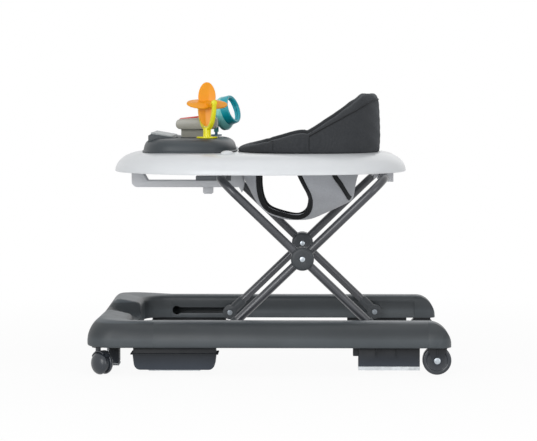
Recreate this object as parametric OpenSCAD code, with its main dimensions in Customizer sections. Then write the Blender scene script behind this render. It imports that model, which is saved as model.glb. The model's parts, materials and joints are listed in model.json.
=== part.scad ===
// Folding baby walker. Millimetres. +X is the rear, -Y the walker's left, +Z up.
// The origin lies on the floor at the centre of the base.

/* [Base] */
// Overall length of the base, rear caps included
base_len = 686; // [620:1:740]
// Overall width of the base over the side rails
base_wid = 600; // [570:1:640]
// Width of each side rail
rail_w = 65; // [60:1:70]
// Height of the rails
rail_h = 47; // [44:1:54]
// Height of the rails' underside above the floor
rail_z = 52; // [50:1:58]
// Wall of the base mouldings
base_wall = 3; // [2.5:0.1:3.5]
// Front-to-back depth of the front bumper
bumper_d = 76; // [70:1:90]
// Length of the bumper piece, from its tip to the rail joint
bumper_len = 127; // [118:1:132]
// How far the humps at the bumper's corners stand above the rails
crest_h = 5; // [0:0.5:12]
// Depth of the scoop in the bumper's top
scoop_h = 32; // [0:0.5:34]
// Plan radius of the bumper's outer corners
corner_r = 50; // [40:1:56]
// Length of the rounded rear caps
cap_len = 44; // [38:1:50]

/* [Scissor frames] */
// Outside diameter of the frame tubes
tube_d = 16; // [14:0.5:17]
// Wall of the frame tubes
tube_wall = 1.5; // [1:0.1:2.5]
// Gap between the two planes of legs
leg_gap = 2; // [1.5:0.1:3]
// Side clearance between the outer hub covers and the rails
hub_side = 5; // [3:0.5:8]
// Leg length from the hub down to the lower pivots
half_low = 210; // [200:1:216]
// Leg length from the hub up to the cross tubes
half_up = 218; // [212:1:224]
// Angle of the legs when the walker is up
open_angle = 43.9; // [42:0.1:45]
// Angle of the legs when the walker is folded
fold_angle = 7.5; // [6:0.1:12]
// Bend radius at the tube corners
bend_r = 42; // [36:1:48]
// Diameter of the hub covers
hub_d = 44; // [40:1:46]
// Diameter of the pivot pins
pin_d = 8; // [7:0.5:9]

/* [Wheels] */
// Rear wheel diameter
wheel_d = 54; // [50:1:56]
// Rear wheel width
wheel_w = 24; // [18:1:26]
// Front caster wheel diameter
caster_d = 42; // [38:1:44]
// Trail of the caster wheels behind their stem
caster_trail = 11; // [8:1:13]
// Diameter of the caster stem
stem_d = 10; // [8:0.5:11]

/* [Tray] */
// Length of the tray ring
tray_len = 577; // [565:1:590]
// Width of the tray ring
tray_wid = 514; // [505:1:530]
// Height of the tray ring
tray_h = 38; // [34:1:44]
// Width of the tray's rounded rim
rim_w = 54; // [50:1:58]
// Wall of the tray moulding
tray_wall = 3; // [2.5:0.1:3.5]

/* [Seat] */
// Height of the backrest above the tray
back_h = 113; // [90:1:130]
// Thickness of the padding
pad_t = 20; // [14:1:22]
// Depth of the bucket below the tray's top
bucket_depth = 139; // [120:1:150]
// Thickness of the bucket's fabric
fabric_t = 4; // [3:0.5:6]

/* [Toys] */
// Length of the toy tray, front to back
toy_len = 187; // [170:1:195]
// Width of the toy tray
toy_wid = 300; // [270:1:320]
// Height of the toy tray
toy_h = 28; // [24:1:32]
// Radius of the spinning star
star_r = 43; // [36:1:44]
// Diameter of the toy mirror
mirror_d = 56; // [50:1:60]
// Travel of the press keys
key_travel = 3; // [2:0.5:4]

/* [Hidden] */

$fn = 48;
fit = 0.05;       // radial running clearance of a pin in its bore
seat_gap = 0.3;   // clearance between pieces that only lie close
eps = 0.5;        // overlap of cuts past a surface

// Heights and places that follow from the sizes above
front_x = -base_len / 2;
rear_x = base_len / 2;
joint_x = front_x + bumper_len;      // joint of bumper and rails
cap_x = rear_x - cap_len;            // joint of rails and rear caps
rail_in = base_wid / 2 - rail_w;     // inner face of the rails
rail_top = rail_z + rail_h;
rail_mid = base_wid / 2 - rail_w / 2;
pivot_z = rail_z + 15.4;
pivot_x = cap_x - 84.4;
tube_r = tube_d / 2;
cover_t = 6;                          // thickness of a hub cover beyond its tube
leg_out = rail_in - hub_side - cover_t - tube_r;
leg_in = leg_out - tube_d - leg_gap;
hub_x = pivot_x - half_low * cos(open_angle);
hub_z = pivot_z + half_low * sin(open_angle);
slider_x = hub_x - half_low * cos(open_angle);
slider_fold_x = pivot_x - 2 * half_low * cos(fold_angle);
bar_a_x = hub_x - half_up * cos(open_angle);
bar_b_x = hub_x + half_up * cos(open_angle);
bar_z = hub_z + half_up * sin(open_angle);
travel = 2 * half_up * (cos(fold_angle) - cos(open_angle));   // of the carriage when folding
pin_r = pin_d / 2;
tray_z = bar_z + tube_r + 0.8;        // rim's bottom edge
deck_z = tray_z + tray_h;             // tray's top
tray_x = hub_x - 83.32;               // centre of the tray
tray_front = tray_x - tray_len / 2;
toy_rear = bar_a_x + 27.2;           // rear end of the toy tray

sides = [-1, 1];

// A run of points on an elliptic arc
function arc(cx, cy, rx, ry, a0, a1, n) =
  [for (i = [0:n]) let (a = a0 + (a1 - a0) * i / n) [cx + rx * cos(a), cy + ry * sin(a)]];
function signed_pow(v, p) = sign(v) * pow(abs(v), p);
// A rounded-square loop with half lengths a and b
function loop(cx, a, b, n, count) =
  [for (i = [0:count - 1]) let (t = 360 * i / count)
    [cx + a * signed_pow(cos(t), 2 / n), b * signed_pow(sin(t), 2 / n)]];
function at_z(points, z) = [for (p = points) [p[0], p[1], z]];
function flat_list(lists) = [for (l = lists) each l];
function reversed(list) = [for (i = [len(list) - 1:-1:0]) list[i]];

// A ring-shaped solid through closed loops, the last joined back to the first
module ring_solid(loops) {
  n = len(loops[0]);
  m = len(loops);
  polyhedron(points = flat_list(loops), faces = [for (j = [0:m - 1], i = [0:n - 1])
    let (k = (i + 1) % n, up = ((j + 1) % m) * n, low = j * n)
    each [[low + i, up + i, up + k], [low + i, up + k, low + k]]]);
}
// A closed solid through loops, with a flat face at each end
module loft(loops) {
  n = len(loops[0]);
  m = len(loops);
  polyhedron(points = flat_list(loops), faces = concat(
    [[for (i = [0:n - 1]) i]],
    [for (j = [0:m - 2], i = [0:n - 1]) let (k = (i + 1) % n)
      each [[j * n + i, (j + 1) * n + i, (j + 1) * n + k], [j * n + i, (j + 1) * n + k, j * n + k]]],
    [[for (i = [n - 1:-1:0]) (m - 1) * n + i]]));
}
// Extrudes a shape drawn in Y and Z along X
module along_x(x0, x1) {
  translate([x0, 0, 0]) rotate([90, 0, 90]) linear_extrude(x1 - x0) children();
}
// Extrudes a shape drawn in X and Z along Y
module along_y(y0, y1) {
  translate([0, y1, 0]) rotate([90, 0, 0]) linear_extrude(y1 - y0) children();
}
// A round bar along Y
module bar_y(x, z, r, y0, y1) {
  translate([x, y1, z]) rotate([90, 0, 0]) cylinder(r = r, h = y1 - y0);
}
// Puts a piece drawn for the right side (+Y) on the side asked for
module on_side(s) {
  if (s > 0) children(); else mirror([0, 1, 0]) children();
}

// ---- Base ----
sec_low = 4;      // radius at the outer bottom edge of the section
sec_out = 34;     // width of the rounded outer shoulder
sec_drop = 38;    // height of the rounded outer shoulder
sec_in = 10;      // radius at the inner top edge
inner_r = 43;     // plan radius inside the front corners
// The rails' cross-section, from the inner face outwards, shrunk by d
function section(w, h, d) = concat([[d, d]],
  arc(w - sec_low, sec_low, sec_low - d, sec_low - d, -90, 0, 4),
  arc(w - sec_out, h - sec_drop, sec_out - d, sec_drop - d, 0, 90, 8),
  arc(sec_in, h - sec_in, sec_in - d, sec_in - d, 90, 180, 5));

// Half the bumper's plan as pairs of inner and outer points, each with its share of the crest
in_x = front_x + bumper_d;
out_y = base_wid / 2;
half_plan = concat(
  [[[joint_x, rail_in], [joint_x, out_y], 0]],
  [for (k = [0:8]) let (a = 90 + 90 * k / 8)
    [[in_x + inner_r + inner_r * cos(a), rail_in - inner_r + inner_r * sin(a)],
     [front_x + corner_r + corner_r * cos(a), out_y - corner_r + corner_r * sin(a)], k / 8]],
  [for (f = [0.8, 0.65, 0.58, 0.53, 0.48, 0.43, 0.38, 0.33, 0.28, 0.15, 0])
    [[in_x, (rail_in - inner_r) * f], [front_x, (out_y - corner_r) * f], 1]]);
function mirrored(p) = [[p[0][0], -p[0][1]], [p[1][0], -p[1][1]], p[2]];
plan = concat([for (p = half_plan) mirrored(p)],
  [for (i = [len(half_plan) - 2:-1:0]) half_plan[i]]);
scoop_half = 88;   // half width of the scoop at the front edge, to the middle of its side slopes
scoop_more = 12;   // how much wider it is on each side at the inner edge
scoop_edge = 14;   // half width of each side slope
dip_h = 1.5;       // how far the front edge drops along the scoop
function eased(t) = let (u = max(0, min(1, t))) u * u * (3 - 2 * u);
function scooped(y, f) =
  eased((scoop_half + scoop_more * (1 - f) + scoop_edge - abs(y)) / (2 * scoop_edge));
fall_h = 9;        // how far the corners fall from their crest to the inner edge
// Rise over a corner: a crest where the outer shoulder starts, falling to the inner edge
function humped(f, crest_f) = f < crest_f
  ? crest_h - fall_h * pow(1 - f / crest_f, 1.2)
  : crest_h * cos(90 * min(1, (f - crest_f) / 0.35));
function dished(f) = dip_h * sin(180 * min(1, f + 0.15)) + scoop_h * pow(max(0, 1 - f / 0.84), 0.55);
// Every loop ends its rise at its own top, so that the wall keeps its thickness
function bumper_loop(p, d) = let (w = norm(p[1] - p[0]))
  [for (q = section(w, rail_h, d)) let (f = q[0] / w, up = q[1] / (rail_h - d),
    xy = p[0] + (p[1] - p[0]) * f, m = scooped(xy[1], f) * p[2])
    [xy[0], xy[1], rail_z + q[1]
      + up * up * ((p[2] - m) * humped(f, 1 - sec_out / w) - m * dished(f))]];
function pushed(points, dx) = [for (p = points) [p[0] + dx, p[1], p[2]]];
module bumper_form(d) {
  last = len(plan) - 1;
  loops = [for (i = [last:-1:0]) reversed(bumper_loop(plan[i], d))];
  if (d == 0) loft(loops);
  else loft(concat([pushed(loops[0], eps)], loops, [pushed(loops[last], eps)]));
}

caster_x = front_x + 22;
caster_y = out_y - 30;
socket_r = stem_d / 2 + 3.5;
socket_h = 24;
module front_bumper() {
  color("#454a4f") difference() {
    bumper_form(0);
    bumper_form(base_wall);
    for (s = sides) translate([caster_x, s * caster_y, rail_z - eps])
      cylinder(r = socket_r + fit, h = base_wall + 2 * eps);
  }
}
module caster_sockets() {
  color("#2b2e31") for (s = sides) translate([caster_x, s * caster_y, 0]) difference() {
    union() {
      translate([0, 0, rail_z - 2]) cylinder(r = socket_r + 3, h = 2);
      translate([0, 0, rail_z - 2]) cylinder(r = socket_r, h = socket_h);
    }
    translate([0, 0, rail_z - 3]) cylinder(r = stem_d / 2 + fit, h = socket_h + 2);
  }
}

slot_h = 12;
keyhole_r = 9;
roller_r = slot_h / 2 - seat_gap;
panel_x = pivot_x - 4;
module inner_wall_cuts() {
  y0 = rail_in - eps;
  y1 = rail_in + base_wall + eps;
  translate([slider_fold_x, y0, pivot_z - slot_h / 2])
    cube([slider_x - slider_fold_x, y1 - y0, slot_h]);
  bar_y(slider_x, pivot_z, slot_h / 2, y0, y1);
  bar_y(slider_fold_x, pivot_z, keyhole_r, y0, y1);
  bar_y(pivot_x, pivot_z, pin_r + fit, y0, y1);
}
wheel_r = wheel_d / 2;
wheel_x = rear_x - wheel_r;
cheek_in = wheel_w / 2 + 1.2;
cheek_t = 4;
cheek_out = cheek_in + cheek_t;
well_x0 = wheel_x - 20.5;
well_x1 = wheel_x + 12;
module wheel_well() {
  translate([well_x0, rail_mid - cheek_out - seat_gap, rail_z - eps])
    cube([well_x1 - well_x0, 2 * (cheek_out + seat_gap), base_wall + 2 * eps]);
}
module rail() {
  difference() {
    along_x(joint_x, cap_x) translate([rail_in, rail_z]) polygon(section(rail_w, rail_h, 0));
    along_x(joint_x - eps, cap_x + eps)
      translate([rail_in, rail_z]) polygon(section(rail_w, rail_h, base_wall));
    inner_wall_cuts();
    wheel_well();
    translate([pivot_x + 16, rail_in - eps, rail_z + 6])
      cube([cap_x - pivot_x - 16 + eps, eps + 1.2, rail_h - 20]);
  }
}
module rail_left() { color("#454a4f") on_side(-1) rail(); }
module rail_right() { color("#454a4f") on_side(1) rail(); }

cap_out = 30;    // plan radius at the cap's outer corner
cap_in = 14;     // plan radius at the cap's inner corner
module cap_form(d) {
  x0 = cap_x - (d > 0 ? eps : 0);
  intersection() {
    along_x(x0, rear_x) translate([rail_in, rail_z]) polygon(section(rail_w, rail_h, d));
    along_y(rail_in - 1, out_y + 1) polygon(concat([[x0, rail_z - 1]],
      [[rear_x - d, rail_z - 1]], arc(cap_x, rail_z + 2, cap_len - d, rail_h - 2 - d, 0, 90, 12),
      [[x0, rail_z + rail_h - d]]));
    translate([0, 0, rail_z - 1]) linear_extrude(rail_h + 2) polygon(concat([[x0, rail_in + d]],
      arc(rear_x - cap_in, rail_in + cap_in, cap_in - d, cap_in - d, -90, 0, 5),
      arc(rear_x - cap_out, out_y - cap_out, cap_out - d, cap_out - d, 0, 90, 8),
      [[x0, out_y - d]]));
  }
}
module rear_cap() {
  difference() {
    cap_form(0);
    cap_form(base_wall);
    wheel_well();
  }
}
module rear_cap_left() { color("#454a4f") on_side(-1) rear_cap(); }
module rear_cap_right() { color("#454a4f") on_side(1) rear_cap(); }

// ---- Stoppers ----
rubber_h = 7;
clear_z = 9;                      // the rubbers' height above the floor
front_stop_x = front_x + 38;
front_stop_y = rail_in - 50;
front_stop = [19, 35];
module front_stopper(s) {
  on_side(s) translate([front_stop_x, front_stop_y, clear_z + 5])
    cube([front_stop[0], front_stop[1], rail_z - clear_z - 5]);
}
module front_stopper_left() { color("#1d2023") front_stopper(-1); }
module front_stopper_right() { color("#1d2023") front_stopper(1); }

tub_x = joint_x + 39.5;
tub_len = 165;
tub_w = 46;
lip_z = rail_z - 11;
module side_stopper(s) {
  half = tub_len / 2;
  on_side(s) translate([tub_x, rail_mid, 0]) {
    along_y(-tub_w / 2, tub_w / 2) polygon(concat(
      arc(-half + 18, clear_z + 15, 12, 14, 180, 270, 5),
      arc(half - 18, clear_z + 15, 12, 14, 270, 360, 5),
      [[half - 4, lip_z], [-half + 4, lip_z]]));
    translate([-half, -tub_w / 2 - 3, lip_z - 2]) cube([tub_len, tub_w + 6, 2]);
    translate([-half + 5, -tub_w / 2 + 3, lip_z - eps])
      cube([tub_len - 10, tub_w - 6, rail_z - lip_z + eps]);
  }
}
module side_stopper_left() { color("#41464d") side_stopper(-1); }
module side_stopper_right() { color("#41464d") side_stopper(1); }

rear_stop_x = well_x0 - 127;
rear_stop_len = 115;
rear_stop_w = 30;
rib_w = 2.5;
rib_h = 18;
rib_out = 3;       // how far the ribs stand out
rib_x = [32, 69];
module rear_stopper(s) {
  on_side(s) translate([rear_stop_x, rail_mid - rear_stop_w / 2, 0]) {
    translate([0, 0, clear_z + rubber_h])
      cube([rear_stop_len, rear_stop_w, rail_z - clear_z - rubber_h]);
    for (x = rib_x) translate([x, rear_stop_w - eps, rail_z - rib_h])
      cube([rib_w, eps + rib_out, rib_h]);
    translate([-10, 5, rail_z - 17]) cube([10 + eps, rear_stop_w - 10, 17]);
  }
}
module rear_stopper_left() { color("#33373c") rear_stopper(-1); }
module rear_stopper_right() { color("#33373c") rear_stopper(1); }

module stopper_rubbers() {
  color("#b9bdc0") for (s = sides) on_side(s) {
    translate([rear_stop_x, rail_mid - rear_stop_w / 2, clear_z])
      cube([rear_stop_len, rear_stop_w, rubber_h]);
    translate([front_stop_x, front_stop_y, clear_z]) cube([front_stop[0], front_stop[1], 5]);
    translate([front_stop_x - 4, front_stop_y, clear_z + 14])
      cube([4, front_stop[1], rail_z - clear_z - 14]);
    translate([tub_x - tub_len / 2 + 34, rail_mid - tub_w / 2 + 3, clear_z - 1])
      cube([tub_len - 68, tub_w - 6, 2]);
  }
}

// ---- Wheels ----
axle_r = 4;
axle_head_r = 6;
module rear_wheel(s) {
  on_side(s) translate([wheel_x, rail_mid, wheel_r]) rotate([90, 0, 0])
    rotate_extrude() polygon(concat(
    [[axle_r + fit, -wheel_w / 2], [9, -wheel_w / 2], [9, -wheel_w / 2 + 2], [19, -wheel_w / 2 + 2],
     [20, -wheel_w / 2 + 0.8]],
    arc(wheel_r - 3, -wheel_w / 2 + 3, 3, 3, -90, 0, 4),
    arc(wheel_r - 3, wheel_w / 2 - 3, 3, 3, 0, 90, 4),
    [[20, wheel_w / 2 - 0.8], [19, wheel_w / 2 - 2], [9, wheel_w / 2 - 2], [9, wheel_w / 2],
     [axle_r + fit, wheel_w / 2]]));
}
module rear_wheel_left() { color("#3a3d42") rear_wheel(-1); }
module rear_wheel_right() { color("#3a3d42") rear_wheel(1); }
module rear_axles() {
  color("#b4b9bd") for (s = sides) for (e = sides) {
    bar_y(wheel_x, wheel_r, axle_r, s * rail_mid - cheek_out - 1, s * rail_mid + cheek_out + 1);
    bar_y(wheel_x, wheel_r, axle_head_r, s * rail_mid + e * (cheek_out + 1) - 1,
      s * rail_mid + e * (cheek_out + 1) + 1);
  }
}
plate_z = rail_z + base_wall;
rib_low = wheel_r + axle_head_r + 1;    // lower end of the rib on the fork, above the axle's head
module rear_fork(s) {
  on_side(s) translate([wheel_x, rail_mid, 0]) difference() {
    union() {
      for (e = sides) translate([0, e * (cheek_in + cheek_t / 2), 0])
        along_y(-cheek_t / 2, cheek_t / 2) polygon(concat(
          [[19, rail_z - seat_gap], [11, rail_z - seat_gap], [8, plate_z + 3], [-19, plate_z + 3],
           [-19, rail_z]], arc(0, wheel_r, 8.5, 8.5, 200, 340, 8)));
      translate([-28, -cheek_out - 8, plate_z]) cube([36, 2 * (cheek_out + 8), 3]);
      for (e = sides) translate([-1.2, e * cheek_out - (e > 0 ? eps : 1.5), rib_low])
        cube([2.4, 1.5 + eps, rail_z - rib_low - 0.5]);
    }
    bar_y(0, wheel_r, axle_r + fit, -cheek_out - 2, cheek_out + 2);
  }
}
module rear_fork_left() { color("#2b2e33") rear_fork(-1); }
module rear_fork_right() { color("#2b2e33") rear_fork(1); }

caster_r = caster_d / 2;
caster_turn = -45;          // direction in which the caster trails, seen from above
web_t = 3;                  // half thickness of the caster's web
dome_w = 18;                // half width over both wheels
caster_axle_r = 3;
module caster_at(s) {
  on_side(s) translate([caster_x, caster_y, 0]) rotate([0, 0, -caster_turn])
    translate([caster_trail, 0, 0]) children();
}
hood_r = caster_r + 0.9;    // inside radius of the hood over the wheels
hood_t = 2;
hood_w = 8;                 // half width of the hood
function hood_arc(r, a0, a1) = arc(0, caster_r, r, r, a0, a1, 16);
module caster_fork(s) {
  caster_at(s) {
    difference() {
      union() {
        bar_y(0, caster_r, caster_r - 4, -web_t, web_t);
        along_y(-hood_w, hood_w) polygon(concat(hood_arc(hood_r, 150, 55),
          hood_arc(hood_r + hood_t, 55, 150)));
        along_y(-web_t, web_t) polygon(concat([[0, caster_r]], hood_arc(hood_r + hood_t / 2, 40, 150)));
        translate([-caster_trail, 0, caster_r]) cylinder(r = stem_d / 2 + 1.5, h = caster_r);
      }
      for (e = sides) on_side(e) bar_y(0, caster_r, caster_r + 0.6, web_t, dome_w + 8);
    }
    translate([-caster_trail, 0, caster_d - 1])
      cylinder(r = stem_d / 2, h = rail_z + socket_h - 4 - caster_d + 1);
    bar_y(0, caster_r, caster_axle_r, -dome_w + 4, dome_w - 4);
  }
}
module caster_fork_left() { color("#3d4147") caster_fork(-1); }
module caster_fork_right() { color("#3d4147") caster_fork(1); }
module caster_wheels(s) {
  caster_at(s) translate([0, 0, caster_r]) for (e = sides) rotate([e * 90, 0, 0])
    rotate_extrude() polygon(concat(
      [[caster_axle_r + fit, web_t + 1], [caster_r - 1.5, web_t + 1]],
      arc(0, web_t + 2.5, caster_r, dome_w - web_t - 2.5, 0, 90, 10),
      [[0, dome_w - 3], [caster_axle_r + fit, dome_w - 3]]));
}
module caster_wheels_left() { color("#4a4e56") caster_wheels(-1); }
module caster_wheels_right() { color("#4a4e56") caster_wheels(1); }

// ---- Scissor frames ----
// Frame A runs from the rear pivot up to the front cross tube, frame B the other way.
// Each is drawn flat, with X up its legs and the hub at the origin, and then turned into place.
module on_frame_a() { translate([hub_x, 0, hub_z]) rotate([0, open_angle - 180, 0]) children(); }
module on_frame_b() { translate([hub_x, 0, hub_z]) rotate([0, -open_angle, 0]) children(); }

bolt_r = 3;
tube_end = 12;     // distance of the tube's lower end from the pivot
module u_tube(y, r, extra) {
  for (s = sides) translate([-half_low + tube_end - extra, s * y, 0]) rotate([0, 90, 0])
    cylinder(r = r, h = half_low - tube_end + half_up - bend_r + extra);
  for (s = sides) translate([half_up - bend_r, s * (y - bend_r), 0])
    rotate([0, 0, s > 0 ? 0 : -90]) rotate_extrude(angle = 90) translate([bend_r, 0]) circle(r);
  bar_y(half_up, 0, r, -y + bend_r, y - bend_r);
}
module frame_tube(y) {
  difference() {
    u_tube(y, tube_r, 0);
    u_tube(y, tube_r - tube_wall, eps);
    bar_y(0, 0, bolt_r + fit, -y - tube_d, y + tube_d);
  }
}
module frame_a_tube() { color("#3a3c40") on_frame_a() frame_tube(leg_out); }
module frame_b_tube() { color("#3a3c40") on_frame_b() frame_tube(leg_in); }

boot_r = 14.5;
boot_half = tube_r + 2;
sleeve_r = tube_r + 2.2;
module boot(y, s) {
  translate([0, s * y, 0]) difference() {
    union() {
      bar_y(-half_low, 0, boot_r, -boot_half, boot_half);
      translate([-half_low, 0, 0]) rotate([0, 90, 0]) cylinder(r = sleeve_r, h = 38);
    }
    translate([-half_low + tube_end - fit, 0, 0]) rotate([0, 90, 0]) cylinder(r = tube_r + fit, h = 40);
    bar_y(-half_low, 0, pin_r + fit, -boot_half - 1, boot_half + 1);
  }
}
module pivot_boot_left() { color("#2f3236") on_frame_a() boot(leg_out, -1); }
module pivot_boot_right() { color("#2f3236") on_frame_a() boot(leg_out, 1); }
module slider_boot_left() { color("#2f3236") on_frame_b() boot(leg_in, -1); }
module slider_boot_right() { color("#2f3236") on_frame_b() boot(leg_in, 1); }

head_r = 5.5;
module pivot_pins() {
  y0 = leg_out - boot_half;
  color("#a7abae") for (s = sides) on_side(s) {
    bar_y(pivot_x, pivot_z, head_r, y0 - 2.5, y0);
    bar_y(pivot_x, pivot_z, pin_r, y0 - eps, rail_in + base_wall + 5);
    bar_y(pivot_x, pivot_z, pin_r + 3, leg_out + boot_half, rail_in - seat_gap);
    bar_y(pivot_x, pivot_z, pin_r + 3, rail_in + base_wall + seat_gap, rail_in + base_wall + 3.5);
  }
}
module slider_pins() {
  y0 = leg_in - boot_half;
  color("#a7abae") for (s = sides) on_side(s) {
    bar_y(slider_x, pivot_z, head_r, y0 - 2.5, y0);
    bar_y(slider_x, pivot_z, pin_r, y0 - eps, rail_in + base_wall + 5);
    bar_y(slider_x, pivot_z, pin_r + 3, leg_in + boot_half, rail_in - seat_gap);
    bar_y(slider_x, pivot_z, roller_r, rail_in - eps, rail_in + base_wall + eps);
    bar_y(slider_x, pivot_z, keyhole_r - 1.5, rail_in + base_wall + seat_gap,
      rail_in + base_wall + 3.5);
  }
}

cover_r = hub_d / 2;
cover_split = leg_in + tube_r + leg_gap / 2;
// A hub cover: a round cap that the tube passes through
module hub_cover(s, y, outer) {
  y_face = outer ? y + tube_r + cover_t : y - tube_r - cover_t;
  y_split = cover_split + (outer ? 0.2 : -0.2);
  h = abs(y_face - y_split);
  turn = outer ? -90 : 90;
  translate([0, s * y_split, 0]) rotate([s * turn, 0, 0]) difference() {
    rotate_extrude() polygon(concat([[bolt_r + fit, 0], [cover_r, 0]],
      arc(cover_r - 7, h - 4, 7, 4, 0, 90, 6), [[bolt_r + fit, h]]));
    translate([-cover_r - 1, 0, abs(y - y_split)]) rotate([0, 90, 0])
      cylinder(r = tube_r + fit, h = 2 * cover_r + 2);
  }
}
module hub_cover_outer_left() { color("#3b4146") on_frame_a() hub_cover(-1, leg_out, true); }
module hub_cover_outer_right() { color("#3b4146") on_frame_a() hub_cover(1, leg_out, true); }
module hub_cover_inner_left() { color("#3b4146") on_frame_b() hub_cover(-1, leg_in, false); }
module hub_cover_inner_right() { color("#3b4146") on_frame_b() hub_cover(1, leg_in, false); }
module hub_bolts() {
  y0 = leg_in - tube_r - cover_t;
  y1 = leg_out + tube_r + cover_t;
  color("#b4b9bd") for (s = sides) on_side(s) {
    bar_y(hub_x, hub_z, bolt_r, y0 - 1, y1 + 1);
    bar_y(hub_x, hub_z, head_r - 0.5, y0 - 2, y0 - seat_gap);
    bar_y(hub_x, hub_z, head_r - 0.5, y1, y1 + 2);
  }
}

// ---- Tray ----
count = 72;         // points round the tray's loops
tray_pow = 2.35;
pad_out = 16;       // how far the padding reaches over the tray
open_x0 = toy_rear + pad_out + 0.8;          // front and rear edges of the seat opening
open_x1 = tray_x + tray_len / 2 - rim_w - 14;
open_b = tray_wid / 2 - rim_w - 48;
open_mid = (open_x0 + open_x1) / 2;
open_a = (open_x1 - open_x0) / 2;
collar = 12;
function tray_loop(d, z) =
  at_z(loop(tray_x, tray_len / 2 - d, tray_wid / 2 - d, tray_pow, count), z);
function open_loop(d, z) = at_z(loop(open_mid, open_a + d, open_b + d, 2.5, count), z);
module tray_shell() {
  w = tray_wall;
  color("#e3e6e8") ring_solid(concat(
    [for (k = [0:7]) let (a = 90 * k / 7) tray_loop(rim_w * (1 - cos(a)), tray_z + tray_h * sin(a))],
    [open_loop(0, deck_z), open_loop(0, deck_z - collar), open_loop(w, deck_z - collar),
     open_loop(w, deck_z - w)],
    [for (k = [7:-1:0]) let (a = 90 * k / 7)
      tray_loop(w + (rim_w - w) * (1 - cos(a)), tray_z + (tray_h - w) * sin(a))]));
}

catch_x = toy_rear - 15;    // the lugs that hold the toy tray
catch_y = toy_wid / 2 + 12;
catch_r = 12.5;
catch_h = 6;
module tray_catches() {
  color("#e3e6e8") for (s = sides) translate([catch_x, s * catch_y, deck_z])
    rotate_extrude() polygon(concat([[0, 0]], arc(0, 0, catch_r, catch_h, 0, 90, 6)));
}

carriage_w = 36;      // width of the carriage between the guide's cheeks
carriage_front = bar_a_x - 55;
carriage_rear = bar_a_x + 14;
cheek_w = 5;
guide_in = carriage_w / 2 + 1;
guide_z0 = bar_z - 24.5;
guide_z1 = bar_z - 11.5;
guide_rear = bar_a_x + 45;
stop_x = carriage_front - travel - 1;       // face that the carriage stops at
under_deck = deck_z - tray_wall;
module adjuster_guide() {
  nose_x = stop_x - 8;
  color("#a9acb0") {
    for (s = sides) on_side(s) translate([0, guide_in + cheek_w / 2, 0])
      along_y(-cheek_w / 2, cheek_w / 2) polygon(concat(
        arc(nose_x + 12, guide_z0 + 12, 12, 12, 180, 270, 5),
        [[guide_rear - 14, guide_z0], [guide_rear - 8, guide_z0 - 11], [guide_rear - 3, guide_z0 + 8],
         [guide_rear - 14, bar_z + 20], [guide_rear - 16, under_deck], [guide_rear - 30, under_deck],
         [guide_rear - 30, guide_z1], [stop_x + 23, guide_z1], [stop_x + 12, tray_z - 1],
         [stop_x + 12, under_deck], [nose_x + 10, tray_z + 28], [nose_x + 2, tray_z + 20],
         [nose_x - 8, tray_z + 3], [nose_x - 8, tray_z - 3], [nose_x, tray_z - 3]]));
    translate([nose_x, -guide_in, guide_z0 + 6])
      cube([stop_x - nose_x, 2 * guide_in, tray_z + 18 - guide_z0]);
    translate([guide_rear - 22, -guide_in, guide_z1 + 4]) cube([3, 2 * guide_in, 16]);
  }
}
button_x = bar_a_x - 31;
button_w = 20;
button_travel = 4;
button_gap = 0.25;
well_z = guide_z1 + 1;      // roof of the button's well
module carriage() {
  half = carriage_w / 2;
  color("#77797d") difference() {
    along_y(-half, half) polygon(concat([[carriage_front, guide_z0], [carriage_rear, guide_z0]],
      arc(bar_a_x, bar_z, carriage_rear - bar_a_x, carriage_rear - bar_a_x - 0.5, 0, 90, 8),
      [[bar_a_x - 14, bar_z - 3], [carriage_front, bar_z - 3]]));
    bar_y(bar_a_x, bar_z, tube_r + fit, -half - 1, half + 1);
    translate([button_x - button_w / 2 - button_gap, -button_w / 2 - button_gap, guide_z0 - 1])
      cube([button_w + 2 * button_gap, button_w + 2 * button_gap, well_z - guide_z0 + 1]);
  }
}
spring_len = 5.5;
button_top = well_z - spring_len;
module release_button() {
  h = 14;
  color("#a9acb0") translate([button_x, 0, guide_z0 - h]) {
    translate([-button_w / 2, -button_w / 2, 2])
      cube([button_w, button_w, button_top - guide_z0 + h - 2]);
    translate([-button_w / 2 + 2, -button_w / 2 + 2, 0]) cube([button_w - 4, button_w - 4, 2 + eps]);
  }
}
module release_spring() {
  color("#9a9da0") translate([button_x, 0, button_top]) difference() {
    cylinder(r = 5, h = spring_len);
    translate([0, 0, -1]) cylinder(r = 3.8, h = spring_len + 2);
  }
}

clamp_y = 60;
clamp_w = 28;
module rear_clamp(s) {
  half = clamp_w / 2;
  color("#a9acb0") on_side(s) translate([0, clamp_y, 0]) difference() {
    along_y(-half, half) polygon(concat(
      arc(bar_b_x, bar_z, 12, 11, 180, 270, 6),
      [[bar_b_x + 21, bar_z - 11], [bar_b_x + 21, tray_z + 9], [bar_b_x + 14, tray_z + 17],
       [bar_b_x - 11, under_deck], [bar_b_x - 17, under_deck], [bar_b_x - 17, bar_z - 6]]));
    bar_y(bar_b_x, bar_z, tube_r + fit, -half - 1, half + 1);
  }
}
module rear_clamp_left() { rear_clamp(-1); }
module rear_clamp_right() { rear_clamp(1); }

// ---- Seat ----
pad_low = 8;         // height of the padding at the front
lean = 9;            // how far the backrest's top leans forward
function seat_share(x) = max(0, min(1, (x - open_x0 + pad_out) / (open_x1 - open_x0 + 2 * pad_out)));
function pad_height(x) = let (t = seat_share(x))
  max(pad_low, min(back_h, 1.08 * back_h * (0.7 * t + 0.36 * pow(t, 3))));
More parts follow.
